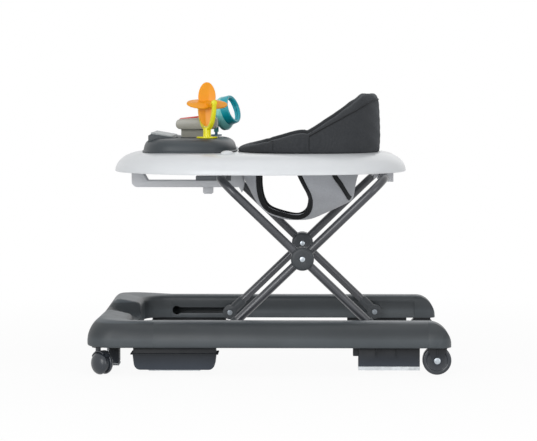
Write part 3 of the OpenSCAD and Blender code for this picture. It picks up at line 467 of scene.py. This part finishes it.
# width of the rounded edge on each piece, in metres; a name that ends in _ stands for a left and right pair
edgeWidths = {
    "rail_": 0.0004, "rear_cap_": 0.0005, "front_stopper_": 0.0022, "rear_stopper_": 0.0009,
    "side_stopper_": 0.0016, "stopper_rubbers": 0.0008, "caster_sockets": 0.0004, "caster_fork_": 0.0006,
    "caster_wheels_": 0.0006, "rear_fork_": 0.0007, "rear_axles": 0.0004, "rear_wheel_": 0.0007,
    "frame_a_tube": 0, "frame_b_tube": 0, "pivot_boot_": 0.0018, "pivot_pins": 0.0004,
    "slider_boot_": 0.0018, "slider_pins": 0.0004, "hub_cover_outer_": 0.0012, "hub_cover_inner_": 0.0012,
    "hub_bolts": 0.0006, "tray_catches": 0, "adjuster_guide": 0.0009, "carriage": 0.0006,
    "release_button": 0.0006, "release_spring": 0, "rear_clamp_": 0.0012, "key_bed": 0.0009,
    "key_1": 0.0012, "key_2": 0.0012, "key_3": 0.0012, "key_4": 0.0012, "music_unit": 0.0014,
    "drum_pad": 0.0012, "propeller_fork": 0.0008, "propeller_axle": 0.0003, "mirror_stand": 0.0008,
    "mirror_shell": 0.0006, "mirror_ring": 0.0005, "mirror_glass": 0.0003,
}
for name, width in edgeWidths.items():
    for node in [name + "left", name + "right"] if name.endswith("_") else [name]:
        finishedNode(node, width)
print("rigid pieces finished")


def superLoop(middle, halfLength, halfWidth, power, count):
    # a rounded-square loop of points, seen from above
    points = []
    for i in range(count):
        turn = 2 * math.pi * i / count
        c, s = math.cos(turn), math.sin(turn)
        points.append((middle + halfLength * math.copysign(abs(c) ** (2 / power), c),
                       halfWidth * math.copysign(abs(s) ** (2 / power), s)))
    return points


def curveThrough(table, x):
    # smooth value between the rows of (place, value), flat beyond the ends
    if x <= table[0][0]:
        return table[0][1]
    for i in range(len(table) - 1):
        x0, y0 = table[i]
        x1, y1 = table[i + 1]
        if x <= x1:
            def slopeAt(k):
                a, b = table[max(0, k - 1)], table[min(len(table) - 1, k + 1)]
                return (b[1] - a[1]) / (b[0] - a[0])
            t = (x - x0) / (x1 - x0)
            m0, m1 = slopeAt(i) * (x1 - x0), slopeAt(i + 1) * (x1 - x0)
            return ((2 * t ** 3 - 3 * t * t + 1) * y0 + (t ** 3 - 2 * t * t + t) * m0
                    + (3 * t * t - 2 * t ** 3) * y1 + (t ** 3 - t * t) * m1)
    return table[-1][1]


def meshOf(name, points, faces):
    # a new piece from its points and faces
    mesh = bpy.data.meshes.new(name)
    mesh.from_pydata([tuple(p) for p in points], [], faces)
    mesh.update()
    piece = bpy.data.objects.new(name, mesh)
    bpy.context.scene.collection.objects.link(piece)
    return piece


def skinned(name, loops, closedAcross=False):
    # a skin of quads through closed loops; closedAcross joins the last loop to the first
    count = len(loops[0])
    rows = len(loops)
    faces = []
    for j in range(rows if closedAcross else rows - 1):
        a, b = j * count, ((j + 1) % rows) * count
        for i in range(count):
            k = (i + 1) % count
            faces.append((a + i, a + k, b + k, b + i))
    return inEditMode(meshOf(name, [p for loop in loops for p in loop], faces), facedOut)


def tubeAlong(name, points, radius, count=10):
    # a round cord or piping through these points, made a mesh
    curve = bpy.data.curves.new(name, "CURVE")
    curve.dimensions = "3D"
    curve.bevel_depth = radius
    curve.bevel_resolution = max(1, count // 4)
    curve.use_fill_caps = True
    spline = curve.splines.new("POLY")
    spline.points.add(len(points) - 1)
    for point, place in zip(spline.points, points):
        point.co = (*place, 1)
    piece = bpy.data.objects.new(name, curve)
    bpy.context.scene.collection.objects.link(piece)
    selectOnly(piece)
    bpy.ops.object.convert(target="MESH")
    return smoothed(bpy.context.object, 60)


def creased(piece, angle):
    # marks the sharp edges, so that a subdivision keeps them crisp
    form = bmesh.new()
    form.from_mesh(piece.data)
    layer = form.edges.layers.float.get("crease_edge") or form.edges.layers.float.new("crease_edge")
    for edge in form.edges:
        if len(edge.link_faces) != 2 or edge.calc_face_angle(0) > math.radians(angle):
            edge[layer] = 0.85
    form.to_mesh(piece.data)
    form.free()


def softenedShell(node, angle, levels):
    # a moulded shell: the node's faceted loft, subdivided to a smooth skin
    square = math.radians(60)
    piece = inEditMode(mergedCopy(node, node + "Shell"), lambda: bpy.ops.mesh.tris_convert_to_quads(
        face_threshold=square, shape_threshold=square))
    creased(piece, angle)
    applied(piece, "SUBSURF", levels=levels, render_levels=levels)
    smoothed(piece, angle + 8)
    settled(piece, node + "Shell", bodyOf[node], slotOf[node])
    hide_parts(node)


# the star is one moulding: four twisted blades, each folded down its middle, that run into each other
# in soft fillets; each blade has its turn about the axle and its twist, in degrees
star = {"middle": (-0.123096, -0.09, 0.504976), "turn": 28, "tip": 0.043, "widest": 0.013, "half": 0.0172,
        "rootHalf": 0.0152, "edge": 0.0034, "fold": 0.0034, "foldAcross": 0.2, "rows": 12,
        "lastRow": 88.392857, "hub": 0.007, "hubHalf": 0.029, "bore": 0.00255, "boreOver": 0.005,
        "voxel": 0.0008, "ease": 6,
        "blades": [(0, -28), (180, 28), (90, 118), (-90, -118)]}


def makeStar():
    # blades and hub made one, with fillets, and bored for the axle
    s = star
    rows = [(s["rootHalf"], 0.0)]
    for i in range(s["rows"]):
        turn = math.radians(s["lastRow"]) * i / (s["rows"] - 1)
        rows.append((s["half"] * math.cos(turn), s["widest"] + (s["tip"] - s["widest"]) * math.sin(turn)))
    thick = s["edge"] / 2
    place = Matrix.Translation(s["middle"]) @ Matrix.Rotation(math.radians(s["turn"]), 4, "Z")
    blades = []
    for around, twist in s["blades"]:
        lie = (place @ Matrix.Rotation(math.radians(around), 4, "Y")
               @ Matrix.Rotation(math.radians(twist), 4, "Z"))
        loops = []
        for half, out in rows:
            fold, middle = s["fold"] * half / s["half"], half * s["foldAcross"]
            section = [(-half, -thick), (middle, fold - thick), (half, -thick),
                       (half, thick), (middle, fold + thick), (-half, thick)]
            loops.append([lie @ Vector((across, deep, out)) for across, deep in section])
        blades.append(inEditMode(skinned("starBlade", loops), capped, facedOut))

    def rod(name, radius, half):
        bpy.ops.mesh.primitive_cylinder_add(vertices=48, radius=radius, depth=2 * half)
        piece = bpy.context.object
        piece.name = name
        piece.data.transform(place @ Matrix.Rotation(math.radians(90), 4, "X"))
        return piece

    piece = joined(blades + [rod("starHub", s["hub"], s["hubHalf"])])
    applied(piece, "REMESH", mode="VOXEL", voxel_size=s["voxel"])
    applied(piece, "SMOOTH", factor=0.5, iterations=s["ease"])
    drill = rod("starDrill", s["bore"], s["hubHalf"] + s["boreOver"])
    applied(piece, "BOOLEAN", operation="DIFFERENCE", object=drill, solver="EXACT")
    bpy.data.objects.remove(drill)
    smoothed(piece, 50)
    settled(piece, "propellerStar", bodyOf["propeller"], slotOf["propeller"])
    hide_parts("propeller")


makeStar()
print("star made")

trayLow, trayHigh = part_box("tray_shell")
padLow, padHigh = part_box("seat_pad")
padMiddle = (padLow.x + padHigh.x) / 2
deck = trayHigh.z
trayShape = {"wall": 0.003, "rim": 0.054, "power": 2.35, "count": 160, "steps": 12,
             "openInset": 0.016, "openPower": 2.5, "openEdge": 0.004, "openRound": 0.001, "collar": 0.012,
             "soften": 0.0009}


def makeTray():
    # one ring moulding: rounded rim, flat deck, collar round the seat opening
    s = trayShape
    wall, rim, collar = s["wall"], s["rim"], deck - s["collar"]
    middle = (trayLow.x + trayHigh.x) / 2
    halfLength, halfWidth = (trayHigh.x - trayLow.x) / 2, (trayHigh.y - trayLow.y) / 2
    height = trayHigh.z - trayLow.z
    openLength = (padHigh.x - padLow.x) / 2 - s["openInset"]
    openWidth = (padHigh.y - padLow.y) / 2 - s["openInset"]

    def rimLoop(inset, z):
        return [(x, y, z) for x, y in superLoop(middle, halfLength - inset, halfWidth - inset,
                                                s["power"], s["count"])]

    def openLoop(out, z):
        return [(x, y, z) for x, y in superLoop(padMiddle, openLength + out, openWidth + out,
                                                s["openPower"], s["count"])]

    turns = [math.pi / 2 * k / s["steps"] for k in range(s["steps"] + 1)]
    outer = [rimLoop(rim * (1 - math.cos(turn)), trayLow.z + height * math.sin(turn)) for turn in turns]
    inner = [rimLoop(wall + (rim - wall) * (1 - math.cos(turn)),
                     trayLow.z + (height - wall) * math.sin(turn)) for turn in reversed(turns)]
    edge = [openLoop(s["openEdge"], deck), openLoop(s["openRound"], deck - s["openRound"]),
            openLoop(0, deck - s["openEdge"]), openLoop(0, collar), openLoop(wall, collar),
            openLoop(wall, deck - wall)]
    piece = skinned("trayShell", outer + edge + inner, closedAcross=True)
    applied(piece, "BEVEL", width=s["soften"], segments=2, limit_method="ANGLE",
            angle_limit=math.radians(50))
    smoothed(piece, 40)
    settled(piece, "trayShell", "tray", "tray_white")
    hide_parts("tray_shell")


# the bumper's section and plan, in metres
bumperShape = {"corner": 0.050, "innerCorner": 0.043, "shoulder": 0.034, "drop": 0.038, "low": 0.004,
               "inner": 0.010, "foot": 0.0008, "depth": 0.076, "rail": 0.065, "count": 9, "frontSteps": 44}
# the humps over its corners, and the dip and the scoop between them
bumperRelief = {"crest": 0.005, "fall": 0.009, "fallPower": 1.2, "frontShare": 0.35, "sideShare": 0.35,
                "dip": 0.0015, "dipStart": 0.15, "scoop": 0.032, "scoopEnd": 0.84, "scoopPower": 0.55,
                "scoopHalf": 0.088, "scoopMore": 0.012, "edge": 0.014}


def eased(t):
    # 0 to 1 with soft ends
    t = max(0, min(1, t))
    return t * t * (3 - 2 * t)


def arcOf(cx, cy, rx, ry, start, end, steps):
    # points on an elliptic arc, its turns in degrees
    turns = [math.radians(start + (end - start) * i / steps) for i in range(steps + 1)]
    return [(cx + rx * math.cos(turn), cy + ry * math.sin(turn)) for turn in turns]


def bumperSection(w, height):
    # outline across the bumper, from its outer foot over the crest and down the inner wall
    s = bumperShape
    n, low, foot, inner = s["count"], s["low"], s["foot"], s["inner"]
    shoulder, drop = s["shoulder"], s["drop"]
    flat = [(w - shoulder + (inner + shoulder - w) * k / 8, height) for k in range(1, 8)]
    wall = [(0, (height - inner) * (1 - k / 6) + foot * k / 6) for k in range(1, 7)]
    return ([(foot, 0)] + arcOf(w - low, low, low, low, -90, 0, 8)
            + arcOf(w - shoulder, height - drop, shoulder, drop, 0, 90, 2 * n) + flat
            + arcOf(inner, height - inner, inner, inner, 90, 180, n) + wall)


def bumperRise(f, y, w, share):
    # how far the top stands above or below its plain height, by the share f of the way out
    s = bumperRelief
    half = s["scoopHalf"] + s["scoopMore"] * (1 - f)
    middle = eased((half + s["edge"] - abs(y)) / (2 * s["edge"])) * share
    crestAt = 1 - bumperShape["shoulder"] / w
    if f < crestAt - 1e-6:
        hump = s["crest"] - s["fall"] * (1 - f / crestAt) ** s["fallPower"]
    else:
        hump = s["crest"] * math.cos(math.pi / 2 * min(1, (f - crestAt) / s["frontShare"]))
    dish = (s["dip"] * math.sin(math.pi * min(1, f + s["dipStart"]))
            + s["scoop"] * max(0, 1 - f / s["scoopEnd"]) ** s["scoopPower"])
    return (share - middle) * hump - middle * dish


def makeBumper():
    # the front bumper: a hollow bow with a raised hump over each corner and a scoop between them
    s = bumperShape
    low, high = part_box("front_bumper")
    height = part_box("rail_left")[1].z - low.z
    outY, railIn = high.y, high.y - s["rail"]
    inX = low.x + s["depth"]
    ri, ro, side, n = s["innerCorner"], s["corner"], bumperRelief["sideShare"], 2 * s["count"]
    # each station: inner point, outer point and share of the humps' height
    stations = [((high.x + (inX + ri - high.x) * k / 4, railIn),
                 (high.x + (low.x + ro - high.x) * k / 4, outY), side * k / 4) for k in range(4)]
    for k in range(n + 1):
        turn = math.radians(90 + 90 * k / n)
        stations.append(((inX + ri + ri * math.cos(turn), railIn - ri + ri * math.sin(turn)),
                         (low.x + ro + ro * math.cos(turn), outY - ro + ro * math.sin(turn)),
                         side + (1 - side) * k / n))
    steps = [(k + 1) / s["frontSteps"] for k in range(s["frontSteps"])]
    stations += [((inX, (railIn - ri) * (1 - f)), (low.x, (outY - ro) * (1 - f)), 1) for f in steps]
    mirrored = [((a[0], -a[1]), (b[0], -b[1]), share) for a, b, share in stations]
    loops = []
    for (ix, iy), (ox, oy), share in stations + mirrored[-2::-1]:
        w = math.hypot(ox - ix, oy - iy)
        loop = []
        for out, up in bumperSection(w, height):
            f, lift = out / w, (up / height) ** 2
            x, y = ix + (ox - ix) * f, iy + (oy - iy) * f
            loop.append((x, y, low.z + up + lift * bumperRise(f, y, w, share)))
        loops.append(loop)
    piece = inEditMode(skinned("frontBumper", loops), capped, facedOut)
    smoothed(piece, 17)
    settled(piece, "frontBumper", "base", "base_plastic")
    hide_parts("front_bumper")


makeTray()
softenedShell("toy_tray", 50, 2)
makeBumper()
print("shells made")

# heights of the padding's ridge above the tray's deck, by place along X
ridgeLine = [(-0.070, 0.0068), (-0.057, 0.0092), (-0.038, 0.0144), (-0.019, 0.0189), (-0.004, 0.0231),
             (0.020, 0.0295), (0.039, 0.0352), (0.058, 0.0395), (0.073, 0.0396), (0.080, 0.0422),
             (0.097, 0.0528), (0.116, 0.0650), (0.135, 0.0773), (0.155, 0.0912), (0.173, 0.1055),
             (0.183, 0.1140), (0.203, 0.1156), (0.216, 0.1150)]
# the padding's section: distance outside the opening, share of the ridge's height, height added
padRows = [(0.0150, 0.00, 0.0006), (0.0165, 0.25, 0), (0.0165, 0.50, 0), (0.0162, 0.78, 0),
           (0.0152, 0.90, 0), (0.0115, 0.975, 0), (0.0050, 1.00, 0), (-0.0030, 0.995, 0),
           (-0.0075, 0.94, 0), (-0.0100, 0.80, 0), (-0.0110, 0.58, 0), (-0.0110, 0.30, 0),
           (-0.0100, 0.05, -0.002), (-0.0080, 0, -0.0098), (-0.0006, 0, -0.0098), (-0.0006, 0, 0.0008)]
padding = {"out": 0.016, "count": 220, "power": 2.5, "lean": 0.003, "backHeight": 0.113, "backGrow": 0.25,
           "voxel": 0.0035, "smooth": 3, "seams": (-0.004, 0.0725), "seamDepth": 0.0014,
           "seamWidth": 0.0032}
wadding = {"pressure": 2.2, "cap": 0.002, "stiffness": 25, "bend": 0.6, "steps": 20, "quality": 5}
# puckers beside the seams and long hollows in the back: waves per metre along each way, and sizes
puckers = {"alongZ": 900, "alongY": 300, "size": 0.063, "reach": 2.2, "gap": 0.6}
hollows = {"start": 0.09, "fade": 0.08, "depth": 0.0009, "alongZ": 210, "alongX": 55, "alongY": 60,
           "shift": 1.0}


def padOutline(out, count):
    # a loop round the seat's opening, this far outside it
    s = padding
    halfLength, halfWidth = (padHigh.x - padLow.x) / 2 - s["out"], (padHigh.y - padLow.y) / 2 - s["out"]
    return superLoop(padMiddle, halfLength + out, halfWidth + out, s["power"], count)


def padLoops():
    # closed loops round the seat: out at the foot, up the outer face, over the crown and down inside
    s = padding
    halfLength = (padHigh.x - padLow.x) / 2 - s["out"]
    loops = []
    for out, share, extra in padRows:
        points = []
        for x, y in padOutline(out, s["count"]):
            height = curveThrough(ridgeLine, x)
            behind = max(0, (x - padMiddle) / halfLength)
            lean = s["lean"] * share * share * behind * height / s["backHeight"]
            # the tall backrest is thicker than the low roll in front
            inwards = s["backGrow"] * behind * (padMiddle - x) / halfLength * abs(out) if out < 0 else 0
            points.append((x + inwards - lean, y, deck + height * share + extra))
        loops.append(points)
    return loops


def swollen(piece):
    # blows the padding up like wadding under its cover, then keeps the result
    s = wadding
    rest = [v.co.copy() for v in piece.data.vertices]
    cloth = piece.modifiers.new("Cloth", "CLOTH")
    cloth.settings.use_pressure = True
    cloth.settings.uniform_pressure_force = s["pressure"]
    cloth.settings.tension_stiffness = s["stiffness"]
    cloth.settings.compression_stiffness = s["stiffness"]
    cloth.settings.bending_stiffness = s["bend"]
    cloth.settings.effector_weights.gravity = 0
    cloth.settings.quality = s["quality"]
    cloth.point_cache.frame_start = 1
    cloth.point_cache.frame_end = s["steps"]
    scene = bpy.context.scene
    for step in range(1, s["steps"] + 1):
        scene.frame_set(step)
    selectOnly(piece)
    bpy.ops.object.modifier_apply(modifier=cloth.name)
    scene.frame_set(1)
    for vertex, start in zip(piece.data.vertices, rest):
        move = vertex.co - start
        if move.length > s["cap"]:
            vertex.co = start + move.normalized() * s["cap"]


def pinched(piece):
    # draws the cover in along its cross seams, and gathers small puckers beside them
    s, p, h = padding, puckers, hollows
    mesh = piece.data
    normals = [v.normal.copy() for v in mesh.vertices]
    for vertex, normal in zip(mesh.vertices, normals):
        x, y, z = vertex.co
        if z < deck + 0.001:
            continue
        for seam in s["seams"]:
            away = abs(x - seam) / s["seamWidth"]
            if away < 6:
                wave = math.sin(z * p["alongZ"] + y * p["alongY"]) * math.exp(-away / p["reach"])
                pucker = p["size"] * wave * (away > p["gap"])
                vertex.co -= normal * s["seamDepth"] * (math.exp(-away * away) + pucker)
        # long soft hollows where the wadding creases on the curve of the back
        behind = max(0, min(1, (x - h["start"]) / h["fade"]))
        wave = math.sin(z * h["alongZ"] + x * h["alongX"]) * math.sin(y * h["alongY"] + h["shift"])
        vertex.co += normal * h["depth"] * behind * wave
    mesh.update()


def onSurface(piece, place, lift=0.0):
    # the nearest point of the piece's skin, lifted a little along its normal
    _, where, normal, _ = piece.closest_point_on_mesh(Vector(place))
    return where + normal * lift


def makePadding():
    s = padding
    piece = skinned("seatPadding", padLoops(), closedAcross=True)
    applied(piece, "REMESH", mode="VOXEL", voxel_size=s["voxel"])
    swollen(piece)
    applied(piece, "SMOOTH", factor=0.5, iterations=s["smooth"])
    applied(piece, "SUBSURF", levels=1, render_levels=1)
    pinched(piece)
    smoothed(piece, 180)
    settled(piece, "seatPadding", "tray", "seat_fabric")
    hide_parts("seat_pad")
    print("padding done:", len(piece.data.polygons), "faces")
    return piece


seatPadding = makePadding()

# heights of the corded edge above the deck, by place along X
pipingLine = [(0.060, 0.0270), (0.0745, 0.0345), (0.120, 0.0580), (0.165, 0.0812), (0.200, 0.0992),
              (0.216, 0.1040)]
piping = {"radius": 0.0013, "out": 0.0175, "count": 400, "proud": 0.3}


def makePiping():
    # corded edge along the backrest, from the side seams round the back
    s = piping
    start = padding["seams"][1]
    half = [(x, y) for x, y in padOutline(s["out"], s["count"]) if x > start and y > 0]
    half.sort(key=lambda p: math.atan2(p[1], p[0] - padMiddle), reverse=True)
    path = [onSurface(seatPadding, (x, y, deck + curveThrough(pipingLine, x)), s["radius"] * s["proud"])
            for x, y in half + [(x, -y) for x, y in reversed(half)]]
    cord = tubeAlong("backPiping", path, s["radius"])
    settled(cord, "backPiping", "tray", "seat_fabric", bindingBlack)


# the cord that sinks into each cross seam, and the stitches on both sides of it
seamCord = {"radius": 0.0006, "start": 0.001, "steps": 14, "beside": 0.01, "above": 0.02, "crownSteps": 8,
            "crownStep": 0.003, "inside": 0.045, "apart": 0.0014}
stitch = {"shift": 0.0035, "radius": 0.0003, "from": 0.1, "to": 0.8}


def overTop(x, side, top):
    # a path on the cover, up its outside, over the crown and down inside
    s = seamCord
    edge, crown = side * padHigh.y, range(s["crownSteps"])
    aims = [(side * s["beside"] + edge, deck + s["start"] + k / s["steps"] * (top - deck))
            for k in range(s["steps"])]
    aims += [(edge - side * s["crownStep"] * k, top + s["above"]) for k in crown]
    aims += [(edge - side * s["inside"], top - s["crownStep"] * k) for k in crown[2:]]
    path = []
    for y, z in aims:
        point = onSurface(seatPadding, (x, y, z))
        if not path or (point - path[-1]).length > s["apart"]:
            path.append(point)
    return path


def makeSeamLines():
    # a sunk cord on each cross seam, with a row of short stitches on both sides of it
    stitches = []
    for number, seam in enumerate(padding["seams"]):
        top = deck + curveThrough(ridgeLine, seam)
        for side, word in ((-1, "Left"), (1, "Right")):
            cord = tubeAlong("seamCord", overTop(seam, side, top), seamCord["radius"], count=6)
            settled(cord, "seamCord" + word + str(number), "tray", "seat_fabric", bindingBlack)
            for shift in (-stitch["shift"], stitch["shift"]):
                line = overTop(seam + shift, side, top)
                stitches += [tubeAlong("stitch", [a + (b - a) * stitch["from"], a + (b - a) * stitch["to"]],
                                       stitch["radius"], count=4) for a, b in zip(line[:-1], line[1:])]
    settled(joined(stitches), "seatStitches", "tray", "seat_fabric")


makePiping()
makeSeamLines()
print("seat cover trimmed")

# stations of the bucket from the front edge under the seat and up the back:
# middle line (x, z) and edge at the leg opening (x, half width, z), heights from the deck
bucketStations = [
    ((-0.0495, -0.0108), (-0.0215, 0.124, -0.0112)),
    ((-0.0530, -0.030), (-0.0205, 0.112, -0.030)),
    ((-0.0530, -0.050), (-0.0205, 0.100, -0.050)),
    ((-0.0400, -0.076), (-0.0195, 0.082, -0.074)),
    ((-0.0260, -0.101), (-0.0140, 0.064, -0.097)),
    ((-0.0060, -0.122), (-0.0010, 0.048, -0.1135)),
    ((0.0250, -0.134), (0.0290, 0.040, -0.124)),
    ((0.0550, -0.1355), (0.0560, 0.040, -0.1280)),
    ((0.0800, -0.133), (0.0735, 0.050, -0.1175)),
    ((0.1100, -0.121), (0.0780, 0.072, -0.096)),
    ((0.1420, -0.107), (0.0740, 0.096, -0.079)),
    ((0.1630, -0.0955), (0.0665, 0.112, -0.064)),
    ((0.1675, -0.073), (0.0585, 0.124, -0.048)),
    ((0.1730, -0.048), (0.0530, 0.132, -0.036)),
    ((0.1850, -0.028), (0.0480, 0.137, -0.024)),
    ((0.1960, -0.0108), (0.0440, 0.139, -0.0112)),
]
# its cloth sags in shallow folds: sag and fall in metres, waves across and along
bucket = {"rows": 60, "across": 36, "belly": 0.92, "thick": 0.0032, "sag": 0.0014, "sagAcross": 9,
          "sagAlong": 0.11, "fall": 0.00084, "fallAcross": 5, "fallAlong": 0.2}
bucketTables = [list(zip(range(len(bucketStations)), column))
                for column in zip(*[middle + edge for middle, edge in bucketStations])]


def bucketPoint(row, across):
    # a point of the bucket: row runs from front (0) to back (1), across from -1 to 1
    place = row * (len(bucketStations) - 1)
    midX, midZ, edgeX, edgeY, edgeZ = [curveThrough(table, place) for table in bucketTables]
    turn = across * math.pi / 2
    share = (1 - math.cos(turn)) ** bucket["belly"]
    return Vector((midX + (edgeX - midX) * share, edgeY * math.sin(turn),
                   deck + midZ + (edgeZ - midZ) * share))


def makeBucket():
    # the fabric bucket: a sagging sheet between its two leg holes, given its thickness
    s = bucket
    points, faces = [], []
    for j in range(s["rows"] + 1):
        amount = math.sin(math.pi * j / s["rows"])
        for i in range(s["across"] + 1):
            across = -1 + 2 * i / s["across"]
            p = bucketPoint(j / s["rows"], across)
            fold = s["sag"] * math.sin(across * s["sagAcross"] + j * s["sagAlong"]) * amount
            p.x += fold if j > s["rows"] / 2 else -fold
            p.z -= s["fall"] * math.cos(across * s["fallAcross"] + j * s["fallAlong"]) * amount
            points.append(p)
    width = s["across"] + 1
    for j in range(s["rows"]):
        for i in range(s["across"]):
            a = j * width + i
            faces.append((a, a + 1, a + width + 1, a + width))
    piece = inEditMode(meshOf("seatBucket", points, faces), facedOut)
    applied(piece, "SOLIDIFY", thickness=s["thick"], offset=0)
    applied(piece, "SUBSURF", levels=1, render_levels=1)
    smoothed(piece, 60)
    settled(piece, "seatBucket", "tray", "bucket_fabric")
    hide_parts("seat_sling")
    return piece


# place along X and drop below the deck of the taped seam, by share of its length
seamLine = [(0, 0.1190), (0.28, 0.1252), (0.52, 0.1379), (0.90, 0.1530), (1, 0.1565)]
seamDrop = [(0, -0.0200), (0.28, -0.0440), (0.52, -0.0630), (0.90, -0.0880), (1, -0.0915)]


# the tape folded over each leg opening's edge, and the flat tape on the seam behind it
legTape = {"points": 100, "start": 0.01, "end": 0.99, "width": 0.0048, "over": 0.0013, "inside": 0.9,
           "inset": 0.0022, "step": 0.01}
seamTape = {"points": 30, "width": 0.0050, "thick": 0.0014, "lift": 0.0012, "from": 0.3}


def tapeStrip(name, path, facing, width, thick):
    # flat binding tape: a rounded oblong swept along the path
    turns = [(math.cos(math.pi * i / 6), math.sin(math.pi * i / 6)) for i in range(12)]
    loops = []
    for j, p in enumerate(path):
        ahead = (path[min(j + 1, len(path) - 1)] - path[max(j - 1, 0)]).normalized()
        out = facing[j].normalized()
        across = ahead.cross(out).normalized()
        loops.append([p + across * width * math.copysign(abs(c) ** 0.6, c)
                      + out * thick * math.copysign(abs(q) ** 0.8, q) for c, q in turns])
    piece = inEditMode(skinned(name, loops), capped, facedOut)
    smoothed(piece, 60)
    settled(piece, name, "tray", "seat_fabric", bindingBlack)


def makeBindings():
    # tape folded over both leg openings, and on the seam between the side and the back
    s, b = legTape, seamTape
    for side, word in ((-1, "Left"), (1, "Right")):
        path, facing = [], []
        for j in range(s["points"]):
            row = s["start"] + (s["end"] - s["start"]) * j / (s["points"] - 1)
            edge, inside = bucketPoint(row, side), bucketPoint(row, side * s["inside"])
            ahead = bucketPoint(min(1, row + s["step"]), side) - bucketPoint(max(0, row - s["step"]), side)
            path.append(edge + (inside - edge).normalized() * s["inset"])
            facing.append(ahead.cross(inside - edge))
        tapeStrip("legBinding" + word, path, facing, s["width"], bucket["thick"] / 2 + s["over"])
        path, facing = [], []
        for j in range(b["points"]):
            share = j / (b["points"] - 1)
            x, z = curveThrough(seamLine, share), deck + curveThrough(seamDrop, share)
            hit, p, normal, _ = seatBucket.ray_cast(Vector((x, side * b["from"], z)), Vector((0, -side, 0)))
            if hit:
                path.append(p + normal * b["lift"])
                facing.append(normal)
        tapeStrip("seamBinding" + word, path, facing, b["width"], b["thick"])


seatBucket = makeBucket()
makeBindings()
print("bucket done")


# a plain pale floor under the walker
bpy.ops.mesh.primitive_plane_add(size=backdrop["floorSize"], location=(0, 0, -backdrop["floorDrop"]))
floor = bpy.context.object
floor.name = "paleFloor"
floorMaterial, floorTree, floorShader, floorPlace = newMaterial("paleFloor")
floorShader.inputs["Base Color"].default_value = backdrop["floorColor"]
floorShader.inputs["Roughness"].default_value = backdrop["floorRough"]
glow = floorTree.nodes.new("ShaderNodeEmission")
glow.inputs["Color"].default_value = (1, 1, 1, 1)
floorMix = floorTree.nodes.new("ShaderNodeMixShader")
# the floor fades to the plain backdrop away from the walker, so that no horizon shows
fromMiddle = floorTree.nodes.new("ShaderNodeVectorMath")
fromMiddle.operation = "LENGTH"
floorTree.links.new(floorPlace, fromMiddle.inputs[0])
floorShare = floorTree.nodes.new("ShaderNodeMapRange")
floorTree.links.new(fromMiddle.outputs["Value"], floorShare.inputs["Value"])
floorShare.inputs["From Min"].default_value = backdrop["glowStart"]
floorShare.inputs["From Max"].default_value = backdrop["glowEnd"]
floorShare.inputs["To Min"].default_value = backdrop["nearGlow"]
floorSeen = floorTree.nodes.new("ShaderNodeMath")
floorSeen.operation = "MULTIPLY"
floorTree.links.new(seenRays(floorTree), floorSeen.inputs[0])
floorTree.links.new(floorShare.outputs["Result"], floorSeen.inputs[1])
floorTree.links.new(floorSeen.outputs[0], floorMix.inputs["Fac"])
floorTree.links.new(floorShader.outputs["BSDF"], floorMix.inputs[1])
floorTree.links.new(glow.outputs["Emission"], floorMix.inputs[2])
floorTree.links.new(floorMix.outputs["Shader"], floorTree.nodes["Material Output"].inputs["Surface"])
floor.data.materials.append(floorMaterial)
